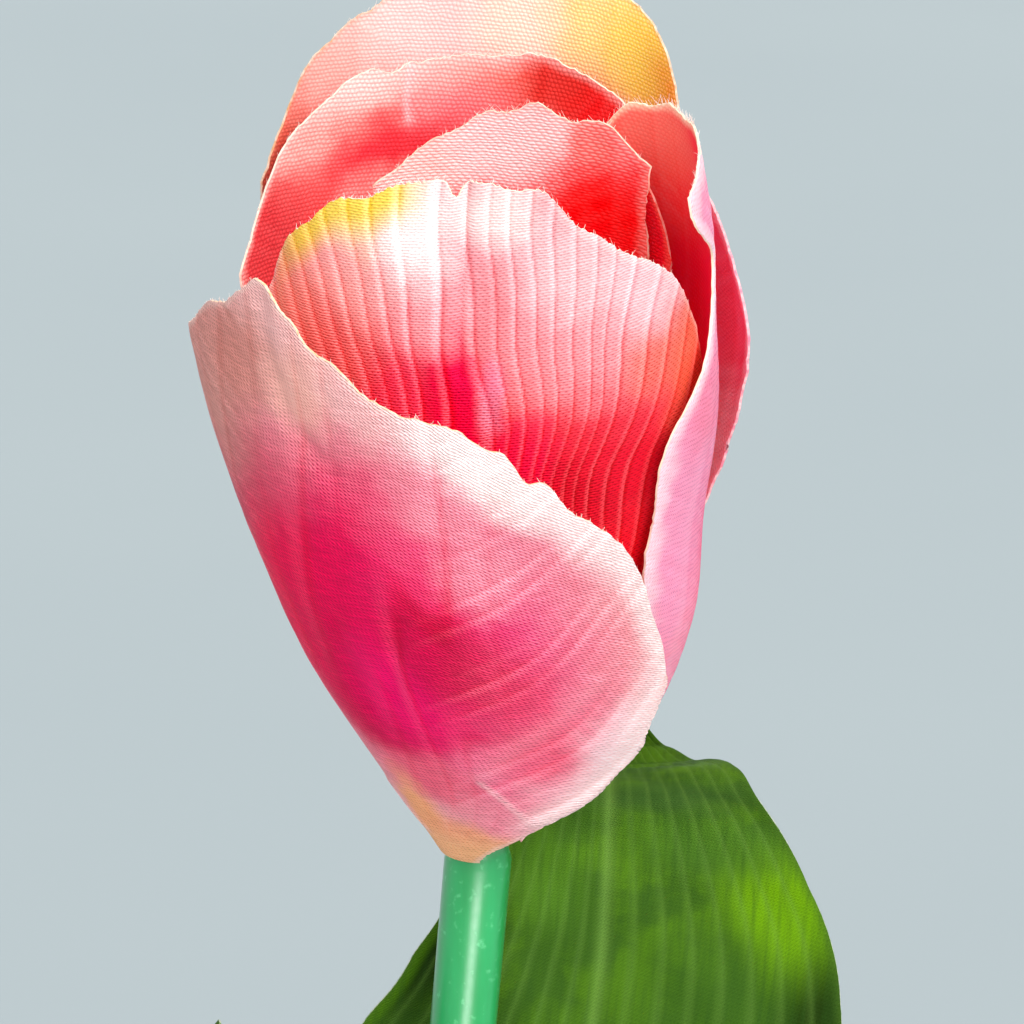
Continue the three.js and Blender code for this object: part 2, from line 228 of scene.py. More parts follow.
RIM_WANDER = 0.22
RAGGED = 0.1
SWAY = 0.12
FANNED_RIB_HEIGHT = 0.1
VEIN_HEIGHT = 0.1
VEIN_PITCH = 1.9
LEAF_VEINS = 16
LEAF_VEIN_HEIGHT = 0.05
MIDRIB_HEIGHT = 0.16


# Shared arithmetic

def through(values, t):
    """Smooth curve through evenly spaced values, at t from 0 to 1."""
    values = np.asarray(values, float)
    last = len(values) - 1
    x = np.clip(t, 0, 1) * last
    i = np.minimum(x.astype(int), last - 1)
    f = x - i
    b = values[i]
    c = values[i + 1]
    a = np.where(i > 0, values[np.maximum(i - 1, 0)], 2 * b - c)
    d = np.where(i < last - 1, values[np.minimum(i + 2, last)], 2 * c - b)
    linear = (c - a) * f
    square = (2 * a - 5 * b + 4 * c - d) * f ** 2
    cube = (3 * b - a - 3 * c + d) * f ** 3
    return (2 * b + linear + square + cube) / 2


def smooth(low, high, x):
    """0 below low, 1 above high, and a smooth step between them."""
    t = np.clip((x - low) / (high - low), 0, 1)
    return t * t * (3 - 2 * t)


def wander(x, draw, wavelength, waves=4):
    """A gentle irregular line between about -1 and 1, the same for the same random draw."""
    line = np.zeros_like(x, dtype=float)
    for _ in range(waves):
        line += np.sin(2 * math.pi * x / (wavelength * draw.uniform(0.6, 1.7)) + draw.uniform(0, 6.3))
    return line / math.sqrt(waves)


def unit(vectors):
    """Vectors of the same directions, 1 long."""
    return vectors / np.maximum(np.linalg.norm(vectors, axis=-1, keepdims=True), 1e-12)


def linear_colour(hex_colour):
    """A colour of the sRGB screen, as light for the shaders."""
    channels = [int(hex_colour[k:k + 2], 16) / 255 for k in (1, 3, 5)]
    return tuple(c / 12.92 if c <= 0.04045 else ((c + 0.055) / 1.055) ** 2.4 for c in channels) + (1,)


def stem_at(z):
    """The stem's middle line at height z."""
    rise = z - STEM_FOOT[2]
    share = rise / (FLOWER_HEIGHT - STEM_FOOT[2])
    x = STEM_FOOT[0] + STEM_LEAN * rise - STEM_BEND * rise ** 2
    return np.stack(np.broadcast_arrays(x, STEM_FOOT[1] - STEM_FORWARD * share ** 2, z), -1)


flower_foot = stem_at(np.float64(FLOWER_HEIGHT))
flower_turn = np.array(Euler((math.radians(FLOWER_TILT), math.radians(FLOWER_LEAN), 0)).to_matrix())
flower_axis = flower_turn @ np.array((0, 0, 1))


def on_the_plant(points):
    """From the flower's own frame to the row frame."""
    return points @ flower_turn.T + flower_foot


# The camera comes first: the photograph's view, fitted on the foot of the flower. Its elevation is
# the photograph's, and a millimetre takes PIXELS_PER_MM pixels at the foot's distance.

FLOWER_FOOT_PIXEL = (478, 858)
PICTURE_SIDE = 1024
PIXELS_PER_MM = 13
CAMERA_DISTANCE = 480
CAMERA_ELEVATION = math.radians(14)
SENSOR_WIDTH = 36

to_camera = np.array((0, -math.cos(CAMERA_ELEVATION), math.sin(CAMERA_ELEVATION)))
picture_up = np.array((0, math.sin(CAMERA_ELEVATION), math.cos(CAMERA_ELEVATION)))
picture_right = np.array((1, 0, 0))
middle = PICTURE_SIDE / 2
target = (
    flower_foot
    + picture_right * (middle - FLOWER_FOOT_PIXEL[0]) / PIXELS_PER_MM
    + picture_up * (FLOWER_FOOT_PIXEL[1] - middle) / PIXELS_PER_MM
)
camera_data = bpy.data.cameras.new("camera")
camera_data.sensor_width = SENSOR_WIDTH
camera_data.lens = SENSOR_WIDTH * PIXELS_PER_MM * CAMERA_DISTANCE / PICTURE_SIDE
camera_data.clip_start = 0.01
camera = bpy.data.objects.new("camera", camera_data)
camera.location = Vector((target + to_camera * CAMERA_DISTANCE) * MM)
camera.rotation_euler = Vector(-to_camera).to_track_quat("-Z", "Y").to_euler()
bpy.context.scene.collection.objects.link(camera)
bpy.context.scene.camera = camera


# Meshes

OUTER, INNER, CUT = 0, 1, 2
EDGE_STEPS = 2


def mesh_piece(name, points, faces, materials, face_material=None, marks=None, sharp=None):
    """A mesh object from points in mm. marks are named values for each point, which shaders read,
    and edges between points of the same sharp number, from 1 up, are sharp."""
    mesh = bpy.data.meshes.new(name)
    sizes = [len(face) for face in faces]
    mesh.vertices.add(len(points))
    mesh.vertices.foreach_set("co", (np.asarray(points) * MM).ravel())
    mesh.loops.add(sum(sizes))
    mesh.loops.foreach_set("vertex_index", np.concatenate(faces))
    mesh.polygons.add(len(sizes))
    mesh.polygons.foreach_set("loop_start", np.concatenate([[0], np.cumsum(sizes)[:-1]]))
    for material in materials:
        mesh.materials.append(material)
    if face_material is not None:
        mesh.polygons.foreach_set("material_index", face_material)
    mesh.update(calc_edges=True)
    mesh.validate()
    mesh.shade_smooth()
    for mark, values in (marks or {}).items():
        layer = mesh.attributes.new(mark, "FLOAT_VECTOR", "POINT")
        layer.data.foreach_set("vector", np.asarray(values, np.float32).ravel())
    if sharp is not None:
        ends = np.empty(len(mesh.edges) * 2, int)
        mesh.edges.foreach_get("vertices", ends)
        first, second = sharp[ends.reshape(-1, 2)].T
        layer = mesh.attributes.new("sharp_edge", "BOOLEAN", "EDGE")
        layer.data.foreach_set("value", (first > 0) & (first == second))
    made = bpy.data.objects.new(name, mesh)
    bpy.context.scene.collection.objects.link(made)
    return made


def steps_from_ends(count):
    """How many steps each of a row of points is from the row's nearer end."""
    step = np.arange(count)
    return np.minimum(step, step[::-1])


def cloth_piece(name, grid, marks, materials):
    """A closed sheet round a grid of middle points, thinner at its edge, where the cut pressed it.
    Materials are outer face, inner face, cut edge."""
    facing = unit(np.cross(np.gradient(grid, axis=0), np.gradient(grid, axis=1)))
    from_border = np.minimum.outer(*(steps_from_ends(count) for count in grid.shape[:2]))
    thickness = CLOTH_AT_EDGE + (CLOTH - CLOTH_AT_EDGE) * smooth(0, EDGE_STEPS, from_border)[..., None]
    points = np.concatenate([
        (grid + facing * thickness / 2).reshape(-1, 3),
        (grid - facing * thickness / 2).reshape(-1, 3),
    ])
    count = from_border.size
    index = np.arange(count).reshape(from_border.shape)
    a, b, c, d = index[:-1, :-1], index[1:, :-1], index[1:, 1:], index[:-1, 1:]
    outer = np.stack([a, b, c, d], -1).reshape(-1, 4)
    inner = np.stack([a, d, c, b], -1).reshape(-1, 4) + count
    border = np.concatenate([index[:, 0], index[-1, 1:], index[-2::-1, -1], index[0, -2:0:-1]])
    after = np.roll(border, -1)
    edge = np.stack([after, border, border + count, after + count], -1)
    which = np.repeat([OUTER, INNER, CUT], [len(outer), len(inner), len(edge)])
    sharp = np.zeros(2 * count, int)
    sharp[border] = 1
    sharp[border + count] = 2
    both = {mark: np.concatenate([values.reshape(-1, 3)] * 2) for mark, values in marks.items()}
    return mesh_piece(name, points, np.concatenate([outer, inner, edge]), materials, which, both, sharp)


def ring_faces(rings, sides):
    """Faces between closed rings of points, from the first ring to the last."""
    index = np.arange(rings * sides).reshape(rings, sides)
    a, b = index[:-1], np.roll(index, -1, 1)[:-1]
    return np.stack([a, b, b + sides, a + sides], -1).reshape(-1, 4)


def bar_faces(rings, sides):
    """Faces of a closed bar of such rings, with a cap at each end."""
    first, last = np.arange(sides), np.arange(sides) + (rings - 1) * sides
    return ring_faces(rings, sides).tolist() + [first[::-1].tolist(), last.tolist()]


def turned(radii, heights, sides):
    """Points and faces of a profile turned about the upright axis."""
    turn = np.linspace(0, 2 * math.pi, sides, endpoint=False)
    points = np.stack([
        np.outer(radii, np.sin(turn)), -np.outer(radii, np.cos(turn)), np.outer(heights, np.ones(sides)),
    ], -1)
    return points.reshape(-1, 3), ring_faces(len(radii), sides)


# Shader nodes

MIX_SHARE, MIX_BELOW, MIX_ABOVE, MIX_COLOUR = 0, 6, 7, 2
SOFTLY = {"interpolation_type": "SMOOTHSTEP"}

# A spot of dye is even over its core and gone at its end, as shares of its half size, and a band
# fades over BAND_FADE mm at its ends. The cloth's other patterns are given as how many lie side by
# side in a millimetre, and AMOUNT is how many mm the dye's blur or a wavering thread swings.

SPOT_CORE, SPOT_END = 0.3, 1.3
BAND_FADE = 3
DYE_WAVES, DYE_AMOUNT = 0.35, 3
THREAD_WAVES, THREAD_AMOUNT = 0.8, 0.35
EDGE_WAVES = 0.5
STREAKS = (0.5, 5, 1)
THREAD_ENDS = 1.6
LEAF_BLOTCHES = 0.13
LEAF_STREAKS = (2.2, 0.14, 1)

# Patterns of the hard parts, as how many lie side by side in a metre: the flow marks are 2.4 mm
# wide, the scuffs 0.7, the die's lines 0.17, the sand 0.7, and the glaze clouds over 22 mm. Real
# sand and real die lines are finer, so they are drawn coarser here.

FILAMENT_SHADES = 900
FLOW_MARKS = 420
SCUFFS = 1500
DIE_LINES = 6000
GLAZE_CLOUDS = 45
GLAZE_RIPPLES = 90
SPECK_CELLS = 420
SPECK_GROUPS = 160
SAND_GRAINS = 1400
PAPER_CLOUDS = 3


def add_node(nodes, links, kind, inputs=None, output=0, **settings):
    """Adds one node with its settings and gives one of its outputs. Each input is linked to another
    node's output, or set to a value or a hex colour."""
    node = nodes.new("ShaderNode" + kind)
    for setting, value in settings.items():
        setattr(node, setting, value)
    for socket, value in (inputs or {}).items():
        if isinstance(value, bpy.types.NodeSocket):
            links.new(value, node.inputs[socket])
        else:
            node.inputs[socket].default_value = linear_colour(value) if isinstance(value, str) else value
    return node.outputs[output] if node.outputs else None


def ranges(first, last, to_first=0, to_last=1):
    """Inputs that turn the range from first to last into one from to_first to to_last."""
    return {"From Min": first, "From Max": last, "To Min": to_first, "To Max": to_last}


def new_material(name):
    """An empty material, and the function that adds a node to it."""
    material = bpy.data.materials.new(name)
    material.use_nodes = True
    tree = material.node_tree
    tree.nodes.clear()
    return material, functools.partial(add_node, tree.nodes, tree.links)


def finish_material(add, colour, bump=None, **surface):
    """Joins a colour and a bump to a Principled shader; surface gives its other values."""
    inputs = {key.replace("_", " "): value for key, value in surface.items()}
    inputs["Base Color"] = colour
    if bump is not None:
        inputs["Normal"] = bump
    add("OutputMaterial", {"Surface": add("BsdfPrincipled", inputs)})


def overlaid(add, colour, *layers):
    """Lays layers over the first colour in turn. Each is a colour and its share, a number or mask."""
    for layer, share in layers:
        inputs = {MIX_SHARE: share, MIX_BELOW: colour, MIX_ABOVE: layer}
        colour = add("Mix", inputs, MIX_COLOUR, data_type="RGBA")
    return colour


def multiplied(add, colour, other):
    """A colour darkened by another."""
    inputs = {MIX_SHARE: 1.0, MIX_BELOW: colour, MIX_ABOVE: other}
    return add("Mix", inputs, MIX_COLOUR, data_type="RGBA", blend_type="MULTIPLY")


def soft_spot(add, place, spot):
    """A mask that is strong in the middle of a slanted oval and fades away past its edge."""
    at_x, at_y, half_x, half_y, turn, strength = spot
    local = add("Mapping", {
        "Vector": place, "Location": (at_x, at_y, 0), "Rotation": (0, 0, math.radians(turn)),
        "Scale": (half_x, half_y, 1),
    }, vector_type="TEXTURE")
    away = add("VectorMath", {0: local}, "Value", operation="LENGTH")
    return add("MapRange", {"Value": away, **ranges(SPOT_CORE, SPOT_END, strength, 0)}, **SOFTLY)


def along_threads(add, place, turn, scale):
    """The place on the cloth, turned so that x runs along the threads, and scaled."""
    return add("Mapping", {
        "Vector": place, "Rotation": (0, 0, math.radians(-turn)), "Scale": scale,
    }, vector_type="POINT")


def unsteady(add, place, amount, **noise):
    """The place on the cloth moved to and fro, amount mm in all, in the waves of a noise."""
    shift = add("TexNoise", {"Vector": place, **noise}, "Color")
    shift = add("VectorMath", {0: shift, 1: (0.5, 0.5, 0.5)}, operation="SUBTRACT")
    return add("VectorMath", {0: shift, 1: (amount, amount, 0), 2: place}, operation="MULTIPLY_ADD")


def satin_face(add, place, turn):
    """Face of satin: long floats side by side, each tied down at even steps along it.
    Gives masks of the threads' roundness and of the small holes where they dip."""
    threads = along_threads(add, place, turn, (1 / THREAD, 1 / THREAD, 1))
    along = add("SeparateXYZ", {0: threads}, "X")
    count = add("SeparateXYZ", {0: threads}, "Y")
    wave = add("Math", {0: count, 1: 2 * math.pi}, operation="MULTIPLY")
    wave = add("Math", {0: wave}, operation="COSINE")
    roundness = add("MapRange", {"Value": wave, **ranges(1, -1)})
    nearest = add("Math", {0: count, 1: 0.5}, operation="ADD")
    nearest = add("Math", {0: nearest}, operation="FLOOR")
    shift = add("Math", {0: nearest, 1: TIE_STAGGER}, operation="MULTIPLY")
    tie = add("Math", {0: along, 1: 1 / TIE_PITCH, 2: shift}, operation="MULTIPLY_ADD")
    tie = add("Math", {0: tie}, operation="FRACT")
    tie = add("Math", {0: tie, 1: 0.5}, operation="SUBTRACT")
    tie = add("Math", {0: tie}, operation="ABSOLUTE")
    dip = add("MapRange", {"Value": tie, **ranges(0.22, 0.42)}, **SOFTLY)
    return roundness, dip


def thread_height(add, roundness, dip):
    """Height of the weave's face: round threads that dip at their ties."""
    return add("Math", {0: dip, 1: -TIE_DEPTH, 2: roundness}, operation="MULTIPLY_ADD")


def satin_back(add, place, turn, floats):
    """Back of the satin: a mask of short slanting floats in staggered rows.
    floats gives their pitch across and up in mm, and their slant."""
    pitch_across, pitch_up, slant = floats
    cells = along_threads(add, place, turn, (1 / pitch_across, 1 / pitch_up, 1))
    row = add("SeparateXYZ", {0: cells}, "Y")
    row = add("Math", {0: row}, operation="FLOOR")
    stagger = add("Math", {0: row, 1: 0.5}, operation="MULTIPLY")
    stagger = add("CombineXYZ", {0: stagger})
    cell = add("VectorMath", {0: cells, 1: stagger}, operation="ADD")
    cell = add("VectorMath", {0: cell}, operation="FRACTION")
    return soft_spot(add, cell, (*FLOAT_IN_CELL, slant, 1))


def soft_print(add, place, from_edge, look):
    """The print: patches of dye with blurred outlines, some of them painted highlight and painted shade,
    over them the colours of the foot and of the cut edge, where the dye fades, and the band, which on
    the front left petal is painted highlight."""
    printed = unsteady(add, place, DYE_AMOUNT, Scale=DYE_WAVES, Detail=3, Roughness=0.6)
    layers = [(dye, soft_spot(add, printed, spot)) for *spot, dye in look["spots"]]
    foot_colour, foot_height = look["foot"]
    up = add("SeparateXYZ", {0: place}, "Y")
    foot_fade = ranges(foot_height * 0.3, foot_height, 0.95, 0)
    near_foot = add("MapRange", {"Value": up, **foot_fade}, **SOFTLY)
    layers.append((foot_colour, near_foot))
    edge_colour, edge_width, edge_share = look["edge"]
    uneven = add("TexNoise", {"Vector": place, "Scale": EDGE_WAVES, "Detail": 2}, "Fac")
    reach = add("Math", {0: uneven, 1: edge_width * 1.2, 2: edge_width * 0.4}, operation="MULTIPLY_ADD")
    near_edge = add("MapRange", {"Value": from_edge, **ranges(0, reach, edge_share, 0)}, **SOFTLY)
    layers.append((edge_colour, near_edge))
    if look["band"]:
        band_colour, solid, width, share, left, right = look["band"]
        across = add("SeparateXYZ", {0: place}, "X")
        inside = add("MapRange", {"Value": from_edge, **ranges(solid, width, share, 0)}, **SOFTLY)
        after = add("MapRange", {"Value": across, **ranges(left, left + BAND_FADE)})
        before = add("MapRange", {"Value": across, **ranges(right, right - BAND_FADE)})
        there = add("Math", {0: after, 1: before}, operation="MULTIPLY")
        layers.append((band_colour, add("Math", {0: inside, 1: there}, operation="MULTIPLY")))
    return overlaid(add, look["ground"], *layers)


def pressed_marks(add, colour, ridge):
    """Painted light of the pressed relief, laid over the print: painted highlight on the lit side of the
    ribs' tops, painted shade in the grooves between them, and painted highlight along raised creases."""
    form = add("Attribute", output="Vector", attribute_name="form")
    top, groove, crease = [add("SeparateXYZ", {0: form}, axis) for axis in "XYZ"]
    pale = add("HueSaturation", {"Saturation": 0.9, "Value": 1.28, "Color": colour})
    # Painted highlight on the lit side of each rib's top
    rib_highlight = add("Math", {0: top, 1: ridge}, operation="MULTIPLY")
    colour = overlaid(add, colour, (pale, rib_highlight))
    # Painted shade in the grooves, then painted highlight along raised creases
    groove_shade = add("Math", {0: groove, 1: ridge}, operation="MULTIPLY")
    return overlaid(add, colour, (multiplied(add, colour, colour), groove_shade), (CREASE_HIGHLIGHT, crease))


def woven(add, colour, place, side, look):
    """The weave in the print: gives the colour with painted highlight on its threads and painted shade
    between them, and the bump. On the face, the painted highlight runs in fine streaks along the
    threads, and pale cloth shows the painted shade at its ties less."""
    turn, grain = look["turn"], look["grain"]
    threads_place = unsteady(add, place, THREAD_AMOUNT, Scale=THREAD_WAVES, Detail=1)
    paleness = add("SeparateColor", {0: colour}, "Green")
    deep = add("HueSaturation", {"Saturation": 1.2, "Value": 0.6, "Color": colour})
    bright = add("HueSaturation", {"Saturation": 1.0, "Value": 1.35, "Color": colour})
    if side == OUTER:
        roundness, dip = satin_face(add, threads_place, turn)
        # Painted highlight: fine streaks of it along the round tops of the threads
        streak_place = along_threads(add, place, turn, STREAKS)
        streaks = add("TexNoise", {"Vector": streak_place, "Scale": 1, "Detail": 2}, "Fac")
        light = add("MapRange", {"Value": streaks, **ranges(0.45, 0.7, 0, 0.6 * grain)})
        light = add("Math", {0: light, 1: roundness}, operation="MULTIPLY")
        # Painted shade in the gaps between threads and at their ties, more on dyed cloth
        gap = add("MapRange", {"Value": roundness, **ranges(0.5, 0)})
        tied = add("MapRange", {"Value": dip, "To Min": 0.1 * grain, "To Max": 0.8 * grain})
        weave_shade = add("Math", {0: gap, 1: tied}, operation="MULTIPLY")
        dyed = add("MapRange", {"Value": paleness, **ranges(0.3, 1, 1, 0.3)})
        weave_shade = add("Math", {0: weave_shade, 1: dyed}, operation="MULTIPLY")
        height, depth = thread_height(add, roundness, dip), FACE_DEPTH
    else:
        height, depth = satin_back(add, threads_place, turn, look["floats"]), BACK_DEPTH
        # Painted highlight on the back's floats and painted shade between them; undyed floats also stay
        # white
        light = add("Math", {0: height, 1: 0.9 * grain}, operation="MULTIPLY")
        weave_shade = add("MapRange", {"Value": height, **ranges(0.35, 0, 0, 0.2 * grain)})
        white = add("Math", {0: paleness, 1: look["undyed"]}, operation="MULTIPLY")
        bright = overlaid(add, bright, ("#FFFFFF", white))
    bump = add("Bump", {"Strength": grain, "Distance": depth * MM, "Height": height})
    return overlaid(add, colour, (deep, weave_shade), (bright, light)), bump


def cloth_material(name, side, look):
    """Printed satin: polyester dyed in soft patches, whose thin cloth lets light through red. The
    petals' outer side is the satin's face, and their inner side its back."""
    look = {**USUAL_LOOK, **look}
    material, add = new_material(name)
    place = add("Attribute", output="Vector", attribute_name="cloth")
    border = add("Attribute", output="Vector", attribute_name="edge")
    from_edge = add("SeparateXYZ", {0: border}, "X")
    colour = soft_print(add, place, from_edge, look)
    colour = pressed_marks(add, colour, look["ridge"])
    colour, bump = woven(add, colour, place, side, look)
    finish_material(add, multiplied(add, colour, STARCH_TONE), bump, Roughness=0.55, IOR=1.5,
                    Specular_IOR_Level=0.07, Subsurface_Weight=look["glow"],
                    Subsurface_Radius=(1, 0.3, 0.3), Subsurface_Scale=0.8 * MM)
    return material


# Looks of each petal: its outer face, its inner face, the colour of its cut edge, and how many
# loose filaments stand on its rim, with the longest in mm. In the look of a face:
# ground  the colour under everything else
# turn    direction of the threads in degrees
# edge    colour of the cut edge, its width in mm and its share
# foot    colour of the foot and how high it reaches in mm
# spots   patches of dye, and on some faces of painted highlight and painted shade, (across, up, half
#         width, half height, turn, strength, colour), in mm on the flat cloth from the middle of the
#         petal's foot
# ridge   how strongly the ribs' painted highlight on top and painted shade between them show
# grain   how clearly the weave shows
# glow    how much light the thin cloth lets through
# band    a strip of another colour inside the cut edge: its colour, solid width, whole width, share,
#         and the stretch across the petal that it covers
# floats  pitch across and up of the back's floats in mm, and their slant in degrees
# undyed  how far the floats of the back stay white

USUAL_LOOK = dict(ridge=0.35, grain=1, glow=0.5, band=None, floats=(0.5, 0.28, 28), undyed=0.1)
PLAIN_OUTER = dict(
    ground="#F4709C", turn=-30, edge=("#FFE8E4", 3.2, 0.85), foot=("#F6B47C", 9), glow=0,
    spots=[
        (0, 47, 16, 6, 0, 0.8, "#FBB4B8"),
        (0, 34, 13, 8, 0, 0.7, "#F45C88"),
        (0, 22, 9, 15, 0, 1, "#E60450"),
        # Painted shade on the left side and painted light on the right side, as from a light on the
        # right
        (-12, 34, 4, 13, 0, 0.6, "#E87C90"),
        (12, 34, 4, 13, 0, 0.6, "#F49CB4"),
    ],
)
PLAIN_INNER = dict(
    ground="#FF6E70", turn=8, edge=("#FFE0D8", 3.4, 0.9), foot=("#F88858", 6), glow=0,
    spots=[
        (0, 42, 15, 8, 0, 0.6, "#FF9890"),
        (0, 22, 14, 18, 0, 1, "#F40C30"),
    ],
)
FRONT_LEFT_OUTER = dict(
    ground="#FFD0CC", turn=-30, edge=("#FFEDE2", 0.7, 0.5), foot=("#FFC894", 5),
    # The band inside the right edge is painted highlight, where the curled rim shines
    ridge=0.8, grain=2, glow=0, band=("#FFF6F4", 0.8, 4.6, 0.8, 6, 60),
    spots=[
        (5.5, 24.5, 20, 20, 0, 1, "#EE4E86"),
        # Painted shade: the duller rose of the left side, away from the light
        (-10, 33, 8, 12, 8, 1, "#DE6C80"),
        (-14, 41, 8, 9, 12, 1, "#E2A69C"),
        (-8, 44.5, 5, 5, 8, 0.9, "#E09C90"),
        (-1.5, 43.5, 4, 4, -30, 0.9, "#FFCABC"),
        (2.4, 26, 11.5, 14, 12, 1, "#EC005C"),
        (-4, 25, 7, 8.5, 0, 1, "#FA0054"),
        (2, 24, 9, 10, 0, 1, "#EC0058"),
        (1.5, 19.5, 6, 7, 0, 1, "#E00054"),
        (1, 15.5, 4, 4, 0, 0.9, "#D80052"),
        (4.6, 19.5, 5, 6.5, -10, 0.9, "#FF0676"),
        (5, 27.5, 4, 4, 0, 0.7, "#E40C5C"),
        (5.5, 32.5, 5, 4, -20, 0.8, "#E80858"),
        (12, 21.5, 4, 5, 20, 0.7, "#E4486A"),
        (8, 23.5, 4, 5, 0, 0.7, "#CC0C48"),
        (7, 34, 5, 3, -30, 0.6, "#F07090"),
        (6.5, 30.5, 4, 4, 0, 0.5, "#EC2870"),
        # Painted highlight where the satin shines, high on the right: the next three spots
        (13, 31, 4, 4, -30, 0.7, "#FFA8B8"),
        (10, 36.5, 5, 3.5, -35, 0.8, "#FFA0B2"),
        (14, 40, 7, 3.5, -42, 1, "#FFF4F0"),
        (5, 43, 5, 2.4, -25, 0.5, "#FFDCD8"),
        (8.5, 11.5, 5, 3, 45, 0.7, "#FF8CAE"),
        (13, 13.5, 5, 4, 40, 0.7, "#FF7090"),
        (12.5, 9, 4, 2.5, 20, 0.8, "#FFC0D0"),
        (18, 13.5, 3, 6, -38, 1, "#FFDAE4"),
        (8, 6.5, 5, 3, 20, 0.8, "#FF98B0"),
        (3, 10.5, 4, 3, 0, 0.9, "#F8708C"),
        (0.3, 5.5, 2, 4.8, 0, 0.9, "#FFBC84"),
        (3, 3.6, 3, 2.6, 0, 0.9, "#FFB48C"),
    ],
)
INNER_FRONT_OUTER = dict(
    ground="#EEA0A8", turn=6, edge=("#FFF6F0", 0.9, 0.3), foot=("#F08050", 5),
    ridge=0.85, grain=1.3, glow=0, band=("#F4E054", 0.7, 3.4, 0.95, -17.5, -4),
    spots=[
        (0, 24, 34, 19.8, 0, 1, "#F40C2C"),
        (10, 37.5, 9, 4.5, 14, 0.8, "#E83448"),
        (-12, 42.5, 7, 5, 0, 0.8, "#FF8C88"),
        (-17, 45, 5, 7, 0, 0.95, "#FFB4A4"),
        (-6, 40, 4, 4.5, -10, 0.9, "#FF3C66"),
        (-2.4, 41, 2.6, 5, 0, 1, "#F0004C"),
        (-1, 37, 3, 6, 15, 1, "#F80048"),
        (9, 33, 12, 5, 0, 0.9, "#D40A2C"),
        (2.6, 35.5, 3, 4, 0, 0.8, "#FF0C50"),
        (8, 42, 6, 3.5, -10, 0.5, "#F4A4AA"),
        (18, 40, 4, 8, 0, 1, "#F06C54"),
        (13.5, 41.5, 4, 3.5, 0, 0.7, "#F07868"),
        (7, 50.5, 7, 5, -10, 0.85, "#F0C6CA"),
        (13, 48, 4.5, 5, -30, 0.8, "#F8D0D6"),
        (0.4, 47, 1.8, 5, 0, 0.6, "#E88088"),
        (-2.2, 43, 1.3, 4.5, 4, 0.9, "#F00C50"),
        (0.4, 40, 1.3, 3.5, 0, 0.9, "#F088A4"),
        (0, 54.5, 4, 3, 0, 0.8, "#FCF0EC"),
        (-11, 48.5, 5, 4, 0, 0.7, "#FFBCB4"),
        (-4, 46, 3, 3, 0, 0.6, "#FFB0B6"),
        (-9.5, 53, 3.5, 3, 0, 0.8, "#FFE0C0"),
        # Painted highlight on the wide rib left of the middle, where the satin shines
        (-5.2, 53, 3, 5, -4, 1, "#FFFCFA"),
        (-16, 52, 3, 3, 20, 0.9, "#F0B47C"),
    ],
)
INNER_BACK_INNER = dict(
    ground="#FF4A52", turn=4, edge=("#FFB8AC", 0.7, 0.4), foot=("#E80820", 8),
    floats=(0.55, 0.25, 26), undyed=0.9,
    spots=[
        (-0.5, 52.5, 7, 4.5, 0, 1, "#FFE0E0"),
        (2.5, 51.5, 6, 4, 0, 1, "#FFF0F0"),
        (7, 49.5, 4, 4.5, 0, 1, "#FFE0DA"),
        (-6.5, 46, 4.5, 6, -10, 1, "#FF0008"),
        (-5.5, 53, 2, 3, 0, 0.7, "#FF7468"),
        (0, 40, 12, 6, 0, 0.9, "#F01028"),
    ],
)
INNER_RIGHT_INNER = dict(
    ground="#FF1C38", turn=6, edge=("#FF7464", 1, 0.6), foot=("#E01020", 8), spots=[],
)
BACK_LEFT_INNER = dict(
    ground="#FFA49C", turn=6, edge=("#FFDED4", 0.8, 0.4), foot=("#E01030", 12),
    floats=(0.36, 0.34, 42), undyed=0.4, grain=0.75, glow=0,
    spots=[
        (2, 42, 24, 9, 0, 1, "#FF3040"),
        (3, 51.5, 9, 3.6, -14, 0.9, "#E01C38"),
        (5, 48, 4, 2.6, -12, 0.8, "#FFA8A4"),
        (15, 46, 6, 7, 0, 1, "#CC4248"),
        (13, 53.5, 5, 3, -12, 0.8, "#FFC0B8"),
        (6, 57.5, 7, 3, -8, 0.95, "#FFE6E0"),
        (0, 56.5, 5, 3.5, 0, 0.7, "#FFBEBA"),
        (-8, 57, 6, 4, 0, 0.9, "#FF7E70"),
        (-2, 54, 5, 2.5, 0, 0.6, "#FF7A84"),
        (-10, 56, 5, 5, 0, 1, "#D8342C"),
        (-13, 53, 4, 4, 0, 1, "#F01C20"),
        (-3.5, 58.5, 4, 2, 0, 0.8, "#FFC0B8"),
    ],
)
RIGHT_OUTER = dict(
    ground="#F69CBE", turn=42, edge=("#FFEAF0", 2.4, 0.75), foot=("#FAA870", 11),
    grain=1.4, glow=0.9,
    spots=[
        (-7, 17, 8, 7, 0, 0.8, "#FF9CB4"),
        (-9, 38, 5, 4, 0, 0.5, "#E4708C"),
        (4, 24, 12, 18, 0, 1, "#E80C54"),
    ],
)
RIGHT_INNER = dict(
    ground="#FF1848", turn=8, edge=("#FFE6C8", 0.7, 0.9), foot=("#E00818", 10),
    grain=0.5, glow=0.9, floats=(0.42, 0.32, 30), undyed=0.15,
    spots=[
        (6, 55, 8, 5, 0, 1, "#FF8274"),
        (4, 50, 7, 4, 0, 0.5, "#FF6058"),
    ],
)
FAR_RIGHT_INNER = dict(
    ground="#FF5C80", turn=10, edge=("#FFB4C0", 1.0, 0.9), foot=("#E83850", 8),
    grain=0.5, glow=0.9,
    spots=[(-6, 43, 4, 7, 0, 0.7, "#FF4C6C"), (-8, 29, 6, 8, 0, 1, "#FFB8C4")],
)
BACK_OUTER = {**PLAIN_OUTER, "spots": [
    (0, 59, 20, 6, 0, 0.7, "#FBB4B8"),
    (0, 42, 17, 14, 0, 0.8, "#F05C8C"),
    (0, 24, 10, 19, 0, 1, "#E60450"),
    # Painted shade on the left side and painted light on the right side, as from a light on the right
    (-13, 40, 4, 16, 0, 0.6, "#E87C90"),
    (13, 40, 4, 16, 0, 0.6, "#F49CB4"),
]}
